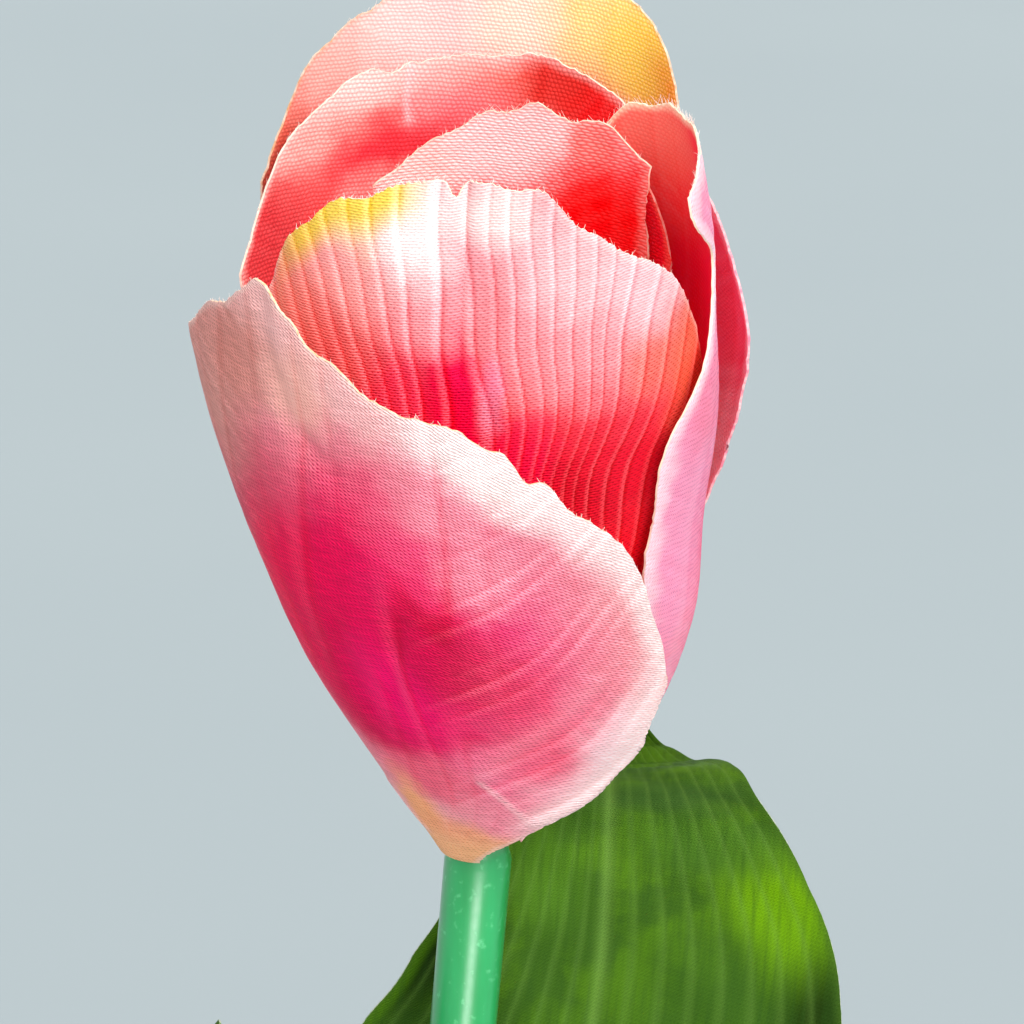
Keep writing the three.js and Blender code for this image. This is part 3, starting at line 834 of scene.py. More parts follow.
BACK_INNER = dict(
    ground="#FFB0A4", turn=6, edge=("#DCA078", 0.6, 0.3), foot=("#E83850", 12),
    grain=0.6, floats=(0.36, 0.32, 40), undyed=0.4, glow=0,
    spots=[
        (0, 44, 24, 10, 0, 0.9, "#FF5860"),
        (18.5, 53, 7, 10, -10, 1, "#CC5C48"),
        (11, 58.5, 6, 7, 0, 0.9, "#FFBAB0"),
        (4.5, 61, 7, 6, 0, 1, "#FFE0DC"),
        (-3, 61.5, 5, 6, 0, 1, "#FFF8E2"),
        (-9, 61.5, 5, 6, 0, 1, "#FFF494"),
        (-13.5, 59.5, 5, 7, 0, 1, "#FFF058"),
        (-18, 55, 5.5, 9, 0, 1, "#F0A828"),
    ],
)
LOOKS = {
    "petal_front_left": (FRONT_LEFT_OUTER, PLAIN_INNER, "#F4B888", (170, 0.4)),
    "petal_inner_front": (INNER_FRONT_OUTER, PLAIN_INNER, "#F8E4C8", (150, 0.5)),
    "petal_inner_back": (PLAIN_OUTER, INNER_BACK_INNER, "#F0B090", (120, 0.5)),
    "petal_inner_right": (PLAIN_OUTER, INNER_RIGHT_INNER, "#F07C6C", (20, 0.4)),
    "petal_back_left": (PLAIN_OUTER, BACK_LEFT_INNER, "#F6D2BC", (150, 0.6)),
    "petal_right": (RIGHT_OUTER, RIGHT_INNER, "#F8E8C8", (170, 0.8)),
    "petal_far_right": (PLAIN_OUTER, FAR_RIGHT_INNER, "#EC7890", (50, 0.4)),
    "petal_back": (BACK_OUTER, BACK_INNER, "#DC9C68", (90, 0.45)),
}


def cut_edge_material(name, colour):
    """Cut edge of the satin: thread ends, sealed by heat, that took little of the dye."""
    material, add = new_material(name)
    place = add("Attribute", output="Vector", attribute_name="cloth")
    ends = add("TexNoise", {"Vector": place, "Scale": THREAD_ENDS, "Detail": 3}, "Fac")
    undyed = add("MapRange", {"Value": ends, **ranges(0.35, 0.65)})
    undyed = add("Math", {0: undyed, 1: 0.5}, operation="MULTIPLY")
    finish_material(add, overlaid(add, colour, ("#FFF8EC", undyed)), Roughness=0.7, IOR=1.5,
                    Sheen_Weight=0.3)
    return material


def filament_material():
    """Loose filaments of undyed polyester: thin and bright."""
    material, add = new_material("loose_polyester_filament")
    place = add("TexCoord", output="Object")
    shade = add("TexNoise", {"Vector": place, "Scale": FILAMENT_SHADES}, "Fac")
    finish_material(add, overlaid(add, "#FFF6EE", ("#F8D8D0", shade)), Roughness=0.5, IOR=1.5)
    return material


# Creases and pressed lines: points (across, up) on the flat cloth, half width, height, and the share of
# painted highlight along a raised crease.
# Nicks in the rim: place across it, half width, depth, where below 0 is a tooth.

CREASES = {
    "petal_front_left": [
        ([(-4.6, 50), (-4, 45), (-2.3, 41), (1.4, 38)], 0.9, -0.3, 0),
        ([(7.2, 10.8), (7.9, 8.8), (8.3, 5.9)], 0.25, 0.2, 0.55),
        ([(-2.9, 7.5), (-1.8, 5.2), (-0.6, 3.2)], 0.3, 0.16, 0.35),
        ([(6.0, 26.5), (4.8, 22.5), (3.6, 19)], 0.6, -0.25, 0),
        ([(0.4, 25), (0.2, 21), (0.8, 17)], 0.9, -0.2, 0),
        ([(7.4, 11.4), (11.6, 15.1), (15.4, 18.1), (19.1, 21.2)], 0.8, 0.16, 0.12),
    ],
    "petal_back_left": [
        ([(2.2, 58), (2.6, 55.2), (2.4, 53.4)], 0.4, 0.3, 0.5),
    ],
    "petal_inner_front": [
        ([(-1.6, 58), (-1.8, 50), (-1.9, 42)], 0.45, -0.4, 0),
    ],
}
NICKS = {
    "petal_inner_front": [(-2.4, 0.55, 1.2)],
    "petal_front_left": [(17.2, 0.9, 0.8), (-14.5, 1.6, 0.5), (-20.5, 2, -1.3)],
    "petal_back_left": [(3.8, 0.7, 0.5)],
}

# Grooves between the pressed ribs of the inner front petal: where each crosses the cloth, in mm
# from its middle, at each of six heights above the foot. They fan out and bend away from it.

GROOVE_HEIGHTS = (0, 20, 34, 42, 52, 60)
GROOVES = [
    (-6, -14, -18, -19, -22.5, -25),
    (-5, -11.5, -14, -16.5, -20, -22),
    (-4.5, -10, -12.5, -14.2, -17.6, -20),
    (-4, -8.8, -11, -12.4, -15.6, -18),
    (-3.5, -7.6, -9.4, -10.8, -13.6, -15.5),
    (-3, -6.6, -8, -9.2, -11.8, -13.5),
    (-2.6, -5.8, -6.8, -7.8, -9.9, -11),
    (-2.2, -5, -5.7, -6.2, -8.3, -9),
    (-1.8, -4.2, -4.8, -5, -6.2, -6.8),
    (-1.2, -2.6, -2.7, -2.9, -3.4, -3.6),
    (0, 0.2, 0.9, -0.3, -1.4, -1.6),
    (0.6, 1, 1.7, 1.2, 0.2, 0),
    (1, 1.8, 2.7, 2.5, 1.7, 1.4),
    (1.4, 2.8, 3.8, 4, 3.2, 3),
    (1.8, 3.6, 4.5, 5.1, 4.8, 4.8),
    (2.2, 4.4, 5.4, 6.4, 6.5, 6.8),
    (2.6, 5.2, 6.4, 7.8, 8.2, 8.8),
    (3, 6, 7.3, 8.8, 9.8, 10.8),
    (3.5, 7, 8.4, 10.2, 11.8, 13),
    (4, 8.2, 9.9, 12.6, 14.6, 16),
    (4.5, 9.6, 11.6, 14.8, 17.6, 19.5),
    (5, 11, 13.6, 17, 20, 22),
    (5.5, 13, 16, 19.5, 23, 25),
    (6.5, 16, 20, 24, 27, 29),
]


def rib_number(across, up):
    """Which rib a place on the inner front petal is on, counted from the left, with its fraction."""
    lines = [np.interp(up, GROOVE_HEIGHTS, groove) for groove in GROOVES]
    number = np.zeros_like(across)
    for line, after in zip(lines, lines[1:]):
        number += np.clip((across - line) / (after - line), 0, 1)
    return number


def away_from_line(across, up, line):
    """Distance on the flat cloth from a broken line."""
    nearest = np.full(across.shape, np.inf)
    for (ax, ay), (bx, by) in zip(line, line[1:]):
        length = (bx - ax) ** 2 + (by - ay) ** 2
        share = np.clip(((across - ax) * (bx - ax) + (up - ay) * (by - ay)) / length, 0, 1)
        distance = np.hypot(across - ax - share * (bx - ax), up - ay - share * (by - ay))
        nearest = np.minimum(nearest, distance)
    return nearest


def each_side(u, pair, t):
    """A curve for each side of a piece: the first of the pair holds where u is negative."""
    return np.where(u < 0, through(pair[0], t), through(pair[1], t))


def arched(f):
    """Section of a pressed rib or vein, f from 0 in one groove to 1 in the next, level on average."""
    return np.sin(math.pi * f) ** 0.8 - 0.6


def between(rise_from, rise_to, fall_from, fall_to, x):
    """A mask that is 1 between a smooth rise and a smooth fall."""
    return smooth(rise_from, rise_to, x) * (1 - smooth(fall_from, fall_to, x))


# Each kind of relief is given as its height in mm, a mask of the painted highlight on the lit side
# of its top, and a mask of the painted shade in its grooves

def fanned_ribs(across, up, draw):
    """Ribs of the inner front petal, which fan out between GROOVES, steeper on their right."""
    number = rib_number(across + 0.25 * wander(up, draw, 14), up)
    sizes = np.array([draw.uniform(0.6, 1.2) for _ in GROOVES])
    size = sizes[np.minimum(number.astype(int), len(GROOVES) - 1)]
    f = (number - np.floor(number)) ** 1.15
    flatter_corner = 1 - 0.7 * smooth(44, 54, up) * (across < -4.5)
    height = FANNED_RIB_HEIGHT * size * arched(f) * flatter_corner
    groove = (1 - smooth(0, 0.15, f)) * 0.9 + smooth(0.95, 1, f)
    return height, between(0.55, 0.8, 0.9, 0.98, f) * size, groove


def plain_ribs(petal, u, across, up, draw):
    """Even ribs of the other petals, which come and go."""
    phase = petal["ribs"] * (u + 1) / 2 + 0.25 * wander(across + 0.15 * up, draw, 11)
    f = phase - np.floor(phase)
    clear = np.clip(0.5 + 0.5 * wander(across - 0.2 * up, draw, 15), 0, 1)
    height = petal["rib_depth"] * 0.6 * arched(f) * clear
    groove = (1 - smooth(0, 0.15, np.minimum(f, 1 - f))) * clear * 0.5
    return height, between(0.4, 0.8, 0.85, 1, f) * clear * 0.4, groove


def feathered_veins(spread, up, strength, draw):
    """Finer veins that leave the middle and bend up to the sides, like the barbs of a feather."""
    line = (up - 0.45 * spread - 0.01 * spread ** 2 + 0.5 * wander(spread, draw, 12)) / VEIN_PITCH
    f = line - np.floor(line)
    strong = np.clip(0.5 + 0.6 * wander(up - 0.6 * spread, draw, 8), 0, 1) * strength
    # Masks of painted shade in the vein grooves and painted highlight on their lit side
    groove = 0.35 * strong * (1 - smooth(0, 0.2, np.minimum(f, 1 - f)))
    return VEIN_HEIGHT * arched(f) * strong, 0.9 * strong * between(0.45, 0.8, 0.85, 1, f), groove


def petal_grid(name, petal):
    """Middle surface of a petal, and the marks that its shaders read: cloth, the place on the flat
    cloth; edge, the distance from the cut edge; form, the masks of painted highlight on the ribs'
    tops, of painted shade in the grooves, and of painted highlight on raised creases."""
    draw = random.Random(SEED + len(name) * 31 + int(petal["azimuth"]))
    fanned = name == "petal_inner_front"
    foot = petal["foot"]
    widest = max(np.radians(a + b) * r for a, b, r in zip(*petal["wide"], petal["radius"]))
    columns = int(widest / (FINE_CELL_ACROSS if fanned else CELL_ACROSS))
    rows = int(petal["height"] / CELL_UP)
    u, v = np.meshgrid(np.linspace(-1, 1, columns + 1), np.linspace(0, 1, rows + 1), indexing="ij")
    side = np.abs(u)

    # The free edge wanders, has nicks, and its thread ends are uneven
    rim = through(petal["rim"], (u + 1) / 2)
    rim_across = u * np.radians(each_side(u, petal["wide"], v)[:, -1:]) * petal["radius"][-1]
    rim = rim + RIM_WANDER * wander(rim_across, draw, 5) * (1 - smooth(0.93, 1, side))
    for at, width, depth in NICKS.get(name, []):
        rim = rim - depth * np.exp(-((rim_across - at) / width) ** 2)
    frayed = np.array([draw.uniform(-1, 1) for _ in range(columns + 1)])[:, None]
    z = foot + (rim - foot) * v
    z = z + RAGGED * frayed * smooth(0.985, 1, v)
    ragged = np.array([[draw.uniform(-1, 1) for _ in range(rows + 1)] for _ in range(2)])
    ragged = np.where(u < 0, ragged[0], ragged[1]) + 1.5 * wander(z, draw, 6)
    sideways = RAGGED * np.sign(u) * ragged * smooth(0.975, 1, side)

    t = (z - foot) / (petal["height"] - foot)
    half_angle = each_side(u, petal["wide"], t)
    radius = through(petal["radius"], t)
    angle = np.radians(petal["azimuth"] + u * half_angle) + sideways / np.maximum(radius, 3)
    half_width = np.radians(half_angle) * radius
    across = u * half_width
    up = z - foot
    from_edge = np.minimum(np.maximum(rim - z, 0) * 0.9, (1 - side) * half_width)

    if fanned:
        ribs, top, groove = fanned_ribs(across, up, draw)
    else:
        ribs, top, groove = plain_ribs(petal, u, across, up, draw)
    strength = smooth(0.2, 0.45, side) * smooth(0.1, 0.25, v) * (0.1 if fanned else 1)
    veins, vein_highlight, vein_shade = feathered_veins(side * half_width, up, strength, draw)
    growing = np.minimum(1, 2 * v)
    top = np.maximum(top * growing, vein_highlight)
    groove = np.maximum(groove * growing, vein_shade)
    sway = SWAY * wander(up + 0.6 * across, draw, 17) * smooth(0.1, 0.5, v)
    crease = np.zeros_like(u)
    crease_highlight = np.zeros_like(u)
    # Raised creases get a painted highlight, which the form mark carries to the shaders
    for line, width, height, white in CREASES.get(name, []):
        near = np.exp(-(away_from_line(across, up, line) / width) ** 2)
        crease += height * near
        crease_highlight = np.maximum(crease_highlight, white * near)
    away = radius + each_side(u, petal["tuck"], t) * u ** 2 + ribs * growing + veins + sway + crease
    zero = np.zeros_like(u)
    marks = {
        "cloth": np.stack([across, up, zero], -1),
        "edge": np.stack([from_edge, zero, zero], -1),
        "form": np.stack([top, groove, crease_highlight], -1),
    }
    return np.stack([away * np.sin(angle), -away * np.cos(angle), z], -1), marks


FILAMENT_SIDES = 3
FILAMENT_RINGS = 5
FILAMENT_FACES = bar_faces(FILAMENT_RINGS, FILAMENT_SIDES)
FILAMENT_RADIUS = (0.022, 0.036)


def loose_filaments(name, grid, material, count, longest):
    """Polyester filaments that stand out from the petal's rim, as thin tapering threads."""
    draw = random.Random(SEED + len(name))
    points, faces = [], []
    for _ in range(count):
        column = draw.randrange(2, grid.shape[0] - 3)
        start = grid[column, -1]
        inward = unit(grid[column, -3] - start)
        sideways = unit(grid[column + 1, -1] - grid[column - 1, -1])
        facing = np.cross(sideways, -inward)
        length = longest * draw.uniform(0.25, 1) ** 2
        lean = draw.uniform(-0.9, 0.9)
        curl = draw.uniform(-0.8, 0.8)
        thick = draw.uniform(*FILAMENT_RADIUS)
        faces += [[len(points) + corner for corner in face] for face in FILAMENT_FACES]
        for s in np.linspace(0, 1, FILAMENT_RINGS):
            middle_point = (
                start - inward * length * s
                + sideways * length * (lean * s + curl * s * s * 0.5)
                + facing * length * curl * 0.4 * s * s
            )
            for turn in np.linspace(0, 2 * math.pi, FILAMENT_SIDES, endpoint=False):
                out = sideways * math.cos(turn) + facing * math.sin(turn)
                points.append(middle_point + out * thick * (1 - 0.6 * s))
    return mesh_piece(name, np.array(points), faces, [material])


def make_petals():
    filament = filament_material()
    for name, petal in PETALS.items():
        outer_look, inner_look, cut_colour, (count, longest) = LOOKS[name]
        grid, marks = petal_grid(name, petal)
        grid = on_the_plant(grid)
        materials = [
            cloth_material(f"printed_satin_{name}_outer", OUTER, outer_look),
            cloth_material(f"printed_satin_{name}_inner", INNER, inner_look),
            cut_edge_material(f"cut_satin_edge_{name}", cut_colour),
        ]
        piece = cloth_piece(name + "_satin", grid, marks, materials)
        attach(piece, "root")
        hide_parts(name)
        threads = loose_filaments(name + "_fray", grid, filament, count, longest)
        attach(threads, "root")


# Leaves

def leaf_grid(leaf):
    """Middle surface of a leaf from its sleeve to its tip, and the marks that its shader reads:
    cloth, the place on the flat cloth; edge, the distance from the side and the share of the way
    up; form, where the veins and the midrib are."""
    facing_foot, facing_tip = leaf["side"]
    back = np.array((math.sin(math.radians(facing_foot)), -math.cos(math.radians(facing_foot)), 0))
    stations = []
    for drop, opening in zip(leaf["sleeve"], SLEEVE_OPENING):
        cup = SLEEVE_RADIUS + opening
        point = stem_at(np.float64(flower_foot[2] + drop)) + back * cup - flower_foot
        stations.append((point[0], point[1], drop, SLEEVE_HALF_WIDTH, SLEEVE_HALF_WIDTH, cup))
    stations = np.array(stations + leaf["spine"], float)

    def spine(share):
        return np.stack([through(stations[:, k], share) for k in range(3)], -1) + flower_foot

    length = np.linalg.norm(np.diff(stations[:, :3], axis=0), axis=1).sum()
    columns = int((stations[:, 3] + stations[:, 4]).max() / LEAF_CELL_ACROSS)
    rows = int(length / LEAF_CELL_UP)
    u, v = np.meshgrid(np.linspace(-1, 1, columns + 1), np.linspace(0, 1, rows + 1), indexing="ij")
    along = unit(spine(v + 1e-3) - spine(v - 1e-3))
    facing = np.radians(facing_foot + (facing_tip - facing_foot) * smooth(0.1, 0.5, v))
    across = np.stack([-np.cos(facing), -np.sin(facing), np.zeros_like(v)], -1)
    across = unit(across - along * (across * along).sum(-1, keepdims=True))
    inward = np.cross(across, along)
    half_width = each_side(u, stations[:, 3:5].T, v)
    reach = u * half_width
    cup = through(stations[:, 5], v)
    waving = leaf["wave"] * np.sin(math.pi * leaf["waves"] * v) * u ** 2 * np.sign(u) * v
    up = v * length

    draw = random.Random(SEED)
    fan = u * LEAF_VEINS / 2 + 0.06 * wander(up, draw, 30)
    vein = np.exp(-((fan - np.round(fan)) / 0.13) ** 2) * between(0.1, 0.3, 0.93, 1, v)
    midrib = np.exp(-(reach / 0.55) ** 2) * between(0.05, 0.3, 0.75, 0.95, v)
    sway = 0.12 * wander(up + reach, draw, 13) * smooth(0.2, 0.5, v)
    pressed = LEAF_VEIN_HEIGHT * vein + MIDRIB_HEIGHT * midrib + sway
    grid = spine(v) + across * (cup * np.sin(reach / cup))[..., None]
    grid = grid + inward * (cup * (1 - np.cos(reach / cup)) + waving - pressed)[..., None]
    zero = np.zeros_like(u)
    marks = {
        "cloth": np.stack([reach, up, zero], -1),
        "edge": np.stack([(1 - np.abs(u)) * half_width, v, zero], -1),
        "form": np.stack([vein, midrib, zero], -1),
    }
    return grid, marks


# Patches of the leaves' print, given as on the petals, from the foot of the sleeve; on the back leaf the
# dark patch at (-12.5, 64) is painted shadow of the stem

LEAF_SPOTS = {
    "leaf_back": [
        (14, 68, 5, 7, 20, 1, "#78B004"),
        (8, 74, 7, 4, 0, 0.7, "#548424"),
        (4, 81, 9, 4, 0, 0.8, "#42682A"),
        (18, 59, 4, 6, 0, 1, "#223E02"),
        (9, 60, 6, 6, 0, 0.6, "#426E18"),
        # Painted shadow of the stem across the left half
        (-12.5, 64, 4, 10, -25, 1, "#1C3602"),
        (-16, 60, 1.2, 12, -25, 0.9, "#5C9000"),
        (-5, 70, 4, 6, 0, 0.8, "#5A8C20"),
    ],
    "leaf_left": [
        (5, 60, 5, 14, 0, 0.8, "#66980C"),
        (-7, 50, 4, 14, 0, 0.8, "#335C10"),
    ],
}


def leaf_material(name):
    """Printed leaf cloth: polyester taffeta dyed green, darker low down and in blotches, with
    lighter veins, painted shade between its threads and a painted shadow of the stem on the back leaf."""
    material, add = new_material("printed_leaf_cloth_" + name)
    place = add("Attribute", output="Vector", attribute_name="cloth")
    form = add("Attribute", output="Vector", attribute_name="form")
    border = add("Attribute", output="Vector", attribute_name="edge")
    from_side = add("SeparateXYZ", {0: border}, "X")
    share_up = add("SeparateXYZ", {0: border}, "Y")
    blotch = {"Vector": place, "Scale": LEAF_BLOTCHES, "Detail": 4, "Roughness": 0.6}
    blotch = add("TexNoise", blotch, "Fac")
    blotch = add("MapRange", {"Value": blotch, **ranges(0.4, 0.62)}, **SOFTLY)
    low = add("MapRange", {"Value": share_up, **ranges(0.62, 0.3, 0, 0.6)}, **SOFTLY)
    patches = [(dye, soft_spot(add, place, spot)) for *spot, dye in LEAF_SPOTS[name]]
    streak_place = add("Mapping", {"Vector": place, "Scale": LEAF_STREAKS}, vector_type="POINT")
    streaks = add("TexNoise", {"Vector": streak_place, "Scale": 1, "Detail": 3}, "Fac")
    streaks = add("MapRange", {"Value": streaks, **ranges(0.42, 0.7, 0, 0.4)})
    vein = add("SeparateXYZ", {0: form}, "X")
    midrib = add("SeparateXYZ", {0: form}, "Y")
    lines = add("Math", {0: vein, 1: 0.4}, operation="MULTIPLY")
    lines = add("Math", {0: lines, 1: midrib}, operation="MAXIMUM")
    lines = add("Math", {0: lines, 1: 0.6}, operation="MULTIPLY")
    near_side = add("MapRange", {"Value": from_side, **ranges(0, 1, 0.5, 0)}, **SOFTLY)
    roundness, dip = satin_face(add, place, LEAF_THREADS_TURN)
    # Painted shade in the gaps between the threads
    gap = add("MapRange", {"Value": roundness, **ranges(0.4, 0, 0, 0.18)})
    colour = overlaid(
        add, "#446E18", ("#5A8A14", blotch), ("#2C5210", low), *patches, ("#305818", streaks),
        ("#7CA848", lines), ("#3A6010", near_side), ("#1C3808", gap),
    )
    colour = add("HueSaturation", {"Value": 0.72, "Color": colour})
    height = thread_height(add, roundness, dip)
    bump = add("Bump", {"Strength": 1, "Distance": LEAF_THREAD_DEPTH * MM, "Height": height})
    finish_material(add, colour, bump, Roughness=0.6, IOR=1.5, Specular_IOR_Level=0.08)
    return material


def make_leaves():
    cut = cut_edge_material("cut_leaf_edge", "#4C7C20")
    for name, leaf in LEAVES.items():
        grid, marks = leaf_grid(leaf)
        cloth = leaf_material(name)
        piece = cloth_piece(name + "_cloth", grid, marks, [cloth, cloth, cut])
        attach(piece, "root")
        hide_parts(name)


# Stem

STEM_SIDES = 40
STEM_STEP = 2.5
BORE_RINGS = 40
TIP_RINGS = 24


def round_bar(stations, sides):
    """Points of rings round a route of (middle, direction, radius), and faces closed at each end."""
    points = []
    for centre, along, radius in stations:
        back = unit(np.cross(along, (1, 0, 0)))
        right = np.cross(back, along)
        for turn in np.linspace(0, 2 * math.pi, sides, endpoint=False):
            points.append(centre + right * radius * math.cos(turn) + back * radius * math.sin(turn))
    return np.array(points), bar_faces(len(stations), sides)


def stem_station(z, radius):
    """A ring of the stem at height z: its middle, its direction and its radius."""
    z = np.float64(z)
    return stem_at(z), unit(stem_at(z + 1) - stem_at(z - 1)), radius


def plastic_material():
    """Low-density polyethylene, injection moulded: soft gloss, slightly cloudy, faint flow marks."""
    material, add = new_material("moulded_polyethylene_stem")
    place = add("TexCoord", output="Object")
    long_place = add("Mapping", {"Vector": place, "Scale": (1, 1, 0.12)}, vector_type="POINT")
    flow = add("TexNoise", {"Vector": long_place, "Scale": FLOW_MARKS, "Detail": 4}, "Fac")
    flow = add("MapRange", {"Value": flow, **ranges(0.35, 0.7)})
    scuffs = add("TexNoise", {"Vector": place, "Scale": SCUFFS, "Detail": 3}, "Fac")
    scuffed = add("MapRange", {"Value": scuffs, **ranges(0.6, 0.75, 0, 0.35)})
    roughness = add("MapRange", {"Value": scuffs, **ranges(0.3, 0.7, 0.34, 0.5)})
    colour = overlaid(add, "#0A8A42", ("#1CA058", flow), ("#7CDCA0", scuffed))
    bump = add("Bump", {"Strength": 0.6, "Distance": 0.04 * MM, "Height": flow})
    finish_material(add, colour, bump, Roughness=roughness, IOR=1.51, Coat_Weight=1,
                    Coat_Roughness=0.28, Subsurface_Weight=0.15, Subsurface_Radius=(0.6, 1, 0.6),
                    Subsurface_Scale=2 * MM)
    return material


def make_stem():
    """The moulding round its bore, in one skin: down the bore, up the outside and over the tip."""
    foot = STEM_FOOT[2]
    bore = [stem_station(z, WIRE_RADIUS + CLEARANCE) for z in np.linspace(WIRE_TOP, foot, BORE_RINGS)]
    outside = []
    for z in np.arange(foot, FLOWER_HEIGHT - STEM_STEP, STEM_STEP):
        share = (z - foot) / (FLOWER_HEIGHT - foot)
        outside.append(stem_station(z, STEM_RADIUS + (STEM_HEAD_RADIUS - STEM_RADIUS) * share ** 4))
    tip_heights, tip_radii = zip(*STEM_TIP)
    tip = [
        (flower_foot + flower_axis * h, flower_axis, np.interp(h, tip_heights, tip_radii))
        for h in np.linspace(0, tip_heights[-1], TIP_RINGS)
    ]
    points, faces = round_bar(bore + outside + tip, STEM_SIDES)
    piece = mesh_piece("stem_moulding", points, faces, [plastic_material()])
    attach(piece, "root")
    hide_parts("stem")


def steel_material():
    """Drawn low-carbon steel wire: grey metal, brushed lengthwise by the die."""
    material, add = new_material("drawn_steel_wire")
    place = add("TexCoord", output="Object")
    long_place = add("Mapping", {"Vector": place, "Scale": (1, 1, 0.02)}, vector_type="POINT")
    drawn = add("TexNoise", {"Vector": long_place, "Scale": DIE_LINES, "Detail": 2}, "Fac")
    roughness = add("MapRange", {"Value": drawn, **ranges(0.3, 0.7, 0.3, 0.45)})
    colour = overlaid(add, "#8C8E90", ("#B0B2B4", drawn))
    finish_material(add, colour, Roughness=roughness, Metallic=1.0)
    return material


def finish_wire():
    """The wire keeps its CAD shape and gets its metal."""
    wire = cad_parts["stem_wire"]
    wire.data.materials.clear()
    wire.data.materials.append(steel_material())


# Vase: its outline is (radius, height) up the outside, from the foot's edge to the lip

VASE_SIDES = 144
VASE_STEPS = 130
LIP_STEPS = 12
BARE_CLAY_HEIGHT = 3
AXIS_GAP = 0.01
VASE_OUTLINE = [
    (VASE_FOOT_RADIUS, VASE_FOOT_EDGE),
    (VASE_FOOT_RADIUS + 5.5, 14),
    (VASE_BELLY_RADIUS - 1.2, 31),
    (VASE_BELLY_RADIUS, VASE_BELLY_HEIGHT),
    (VASE_BELLY_RADIUS - 3.5, 65),
    (VASE_NECK_RADIUS + 10, 84),
    (VASE_NECK_RADIUS + 2.5, 101),
    (VASE_NECK_RADIUS, VASE_NECK_HEIGHT),
    (VASE_NECK_RADIUS + 1, 130),
    (VASE_LIP_RADIUS, VASE_HEIGHT - VASE_WALL / 2),
]
THROWING_RING_PITCH = 4.3
THROWING_RING_DEPTH = 0.07


def vase_profile():
    """Section of the wall: across the base, up outside, over the lip and down inside."""
    t = np.linspace(0, 1, VASE_STEPS)
    outside = np.stack([through(values, t) for values in zip(*VASE_OUTLINE)], -1)
    inside = outside[outside[:, 1] > VASE_FLOOR + 5][::-1] - (VASE_WALL, 0)
    half_wall = VASE_WALL / 2
    lip = [
        (VASE_LIP_RADIUS - half_wall + half_wall * math.cos(turn),
         VASE_HEIGHT - half_wall + half_wall * math.sin(turn))
        for turn in np.linspace(0, math.pi, LIP_STEPS + 2)[1:-1]
    ]
    foot = VASE_FOOT_RADIUS - VASE_FOOT_EDGE
    base = [(AXIS_GAP, 0), (foot - 3, 0), (foot, 0)]
    bottom = [(VASE_FOOT_RADIUS - VASE_WALL - 2, VASE_FLOOR), (AXIS_GAP, VASE_FLOOR)]
    bare_rings = len(base) + int((outside[:, 1] < BARE_CLAY_HEIGHT).sum())
    return np.array(base + list(outside) + lip + list(inside) + bottom), bare_rings


def glaze_material():
    """Stoneware under a warm white glaze: glossy, thin over the lip, with fine iron specks."""
    material, add = new_material("glazed_stoneware")
    place = add("TexCoord", output="Object")
    height = add("SeparateXYZ", {0: place}, "Z")
    cloud = add("TexNoise", {"Vector": place, "Scale": GLAZE_CLOUDS, "Detail": 4}, "Fac")
    specks = add("TexVoronoi", {"Vector": place, "Scale": SPECK_CELLS}, "Distance")
    chosen = add("TexNoise", {"Vector": place, "Scale": SPECK_GROUPS, "Detail": 2}, "Fac")
    small = add("MapRange", {"Value": specks, **ranges(0.16, 0.06)})
    few = add("MapRange", {"Value": chosen, **ranges(0.56, 0.66)})
    speck = add("Math", {0: small, 1: few}, operation="MULTIPLY")
    speck = add("Math", {0: speck, 1: 0.7}, operation="MULTIPLY")
    lip_fade = ranges((VASE_HEIGHT - 2.2) * MM, VASE_HEIGHT * MM, 0, 0.55)
    lip = add("MapRange", {"Value": height, **lip_fade}, **SOFTLY)
    colour = overlaid(add, "#BEB8AC", ("#CCC6BA", cloud), ("#6E4C32", speck), ("#C9B08A", lip))
    ripple = add("TexNoise", {"Vector": place, "Scale": GLAZE_RIPPLES, "Detail": 2}, "Fac")
    bump = add("Bump", {"Strength": 0.5, "Distance": 0.25 * MM, "Height": ripple})
    finish_material(add, colour, bump, Roughness=0.22, IOR=1.52, Coat_Weight=0.5, Coat_Roughness=0.08)
    return material


def clay_material():
    """Bare fired stoneware at the foot, wiped clean of glaze: matt, sandy buff."""
    material, add = new_material("bare_stoneware_foot")
    place = add("TexCoord", output="Object")
    sand = add("TexNoise", {"Vector": place, "Scale": SAND_GRAINS, "Detail": 4}, "Fac")
    shade = add("MapRange", {"Value": sand, **ranges(0.35, 0.68)})
    bump = add("Bump", {"Strength": 0.7, "Distance": 0.12 * MM, "Height": sand})
    finish_material(add, overlaid(add, "#B99C78", ("#D0B692", shade)), bump, Roughness=0.85, IOR=1.5)
    return material


def make_vase():
    profile, bare_rings = vase_profile()
    radius, height = profile.T
    # Throwing leaves shallow rings in the wall, which the glaze softens
    on_wall = between(8, 20, VASE_HEIGHT - 12, VASE_HEIGHT - 5, height)
    ring = np.sin(height * 2 * math.pi / THROWING_RING_PITCH + 0.8 * np.sin(height / 9))
    points, faces = turned(radius + THROWING_RING_DEPTH * ring * on_wall, height, VASE_SIDES)
    bare = np.repeat((np.arange(len(profile) - 1) < bare_rings).astype(int), VASE_SIDES)
    piece = mesh_piece("vase_stoneware", points, faces, [glaze_material(), clay_material()], bare)
    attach(piece, "root")
    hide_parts("vase")


# Floor, backdrop and lights

FLOOR_RADIUS = 6000
FLOOR_BEND = 1500
FLOOR_SIDES = 96
BACKDROP_HEIGHT = 1300
FLOWER_MIDDLE = (0, 0, 25)


def floor_material():
    """Matt paper sweep in a pale blue grey, even and without sheen."""
    material, add = new_material("pale_paper_sweep")
    place = add("TexCoord", output="Object")
    fibre = add("TexNoise", {"Vector": place, "Scale": PAPER_CLOUDS, "Detail": 2}, "Fac")
    finish_material(add, overlaid(add, "#9CA7AC", ("#A2ADB1", fibre)), Roughness=1.0, IOR=1.4,
                    Specular_IOR_Level=0.1)
    return material


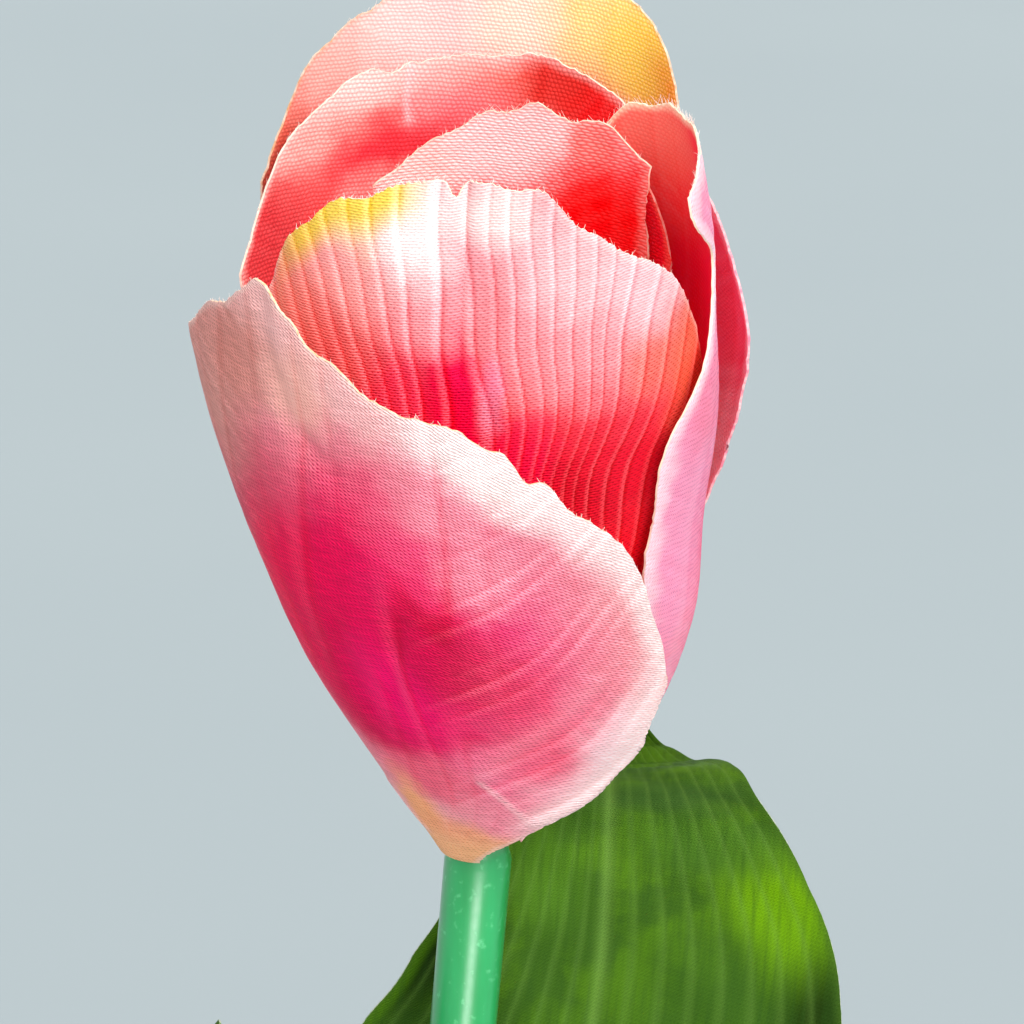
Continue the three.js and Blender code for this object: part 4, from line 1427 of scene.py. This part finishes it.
def make_floor():
    """A round floor that curves up into its backdrop, far behind the vase on every side."""
    turn = np.linspace(0, math.pi / 2, 12)
    flat = FLOOR_RADIUS - FLOOR_BEND
    radii = [0.1, 400, 1500, *(flat + FLOOR_BEND * np.sin(turn))]
    heights = [0, 0, 0, *(BACKDROP_HEIGHT * (1 - np.cos(turn)))]
    points, faces = turned(radii, heights, FLOOR_SIDES)
    floor = mesh_piece("paper_sweep", points, faces[:, ::-1], [floor_material()])


def place_light(name, light, towards):
    """Puts a light in the scene, facing along a direction."""
    made = bpy.data.objects.new(name, light)
    made.rotation_euler = towards.to_track_quat("-Z", "Y").to_euler()
    bpy.context.scene.collection.objects.link(made)
    return made


def add_sun(name, azimuth, elevation, strength, spread, colour):
    """Even light from one direction: azimuth 0 is the camera's side and grows to its right."""
    light = bpy.data.lights.new(name, "SUN")
    light.energy = strength
    light.angle = math.radians(spread)
    light.color = linear_colour(colour)[:3]
    a, e = math.radians(azimuth), math.radians(elevation)
    towards = Vector((-math.sin(a) * math.cos(e), math.cos(a) * math.cos(e), -math.sin(e)))
    place_light(name, light, towards)


def add_card(name, place, size, power, spread):
    """A soft light of a given size in mm behind a grid that keeps it on the flower."""
    light = bpy.data.lights.new(name, "AREA")
    light.shape = "RECTANGLE"
    light.size, light.size_y = size[0] * MM, size[1] * MM
    light.energy = power
    light.spread = math.radians(spread)
    made = place_light(name, light, Vector(on_the_plant(np.array(FLOWER_MIDDLE)) - place))
    made.location = Vector(place) * MM
    made.visible_camera = False


def make_light():
    add_sun("window_light", azimuth=36, elevation=40, strength=2.4, spread=24, colour="#FFFCF8")
    add_sun("front_light", azimuth=4, elevation=2, strength=2.6, spread=60, colour="#FFFFFF")
    add_card("low_card", place=(60, -420, 60), size=(260, 80), power=0.055, spread=40)
    world = bpy.data.worlds.new("studio")
    world.use_nodes = True
    background = world.node_tree.nodes["Background"]
    background.inputs["Color"].default_value = linear_colour("#FBFBFA")
    background.inputs["Strength"].default_value = 0.98
    bpy.context.scene.world = world
    bpy.context.scene.view_settings.view_transform = "Standard"


make_petals()
make_leaves()
make_stem()
make_vase()
finish_wire()
make_floor()
make_light()
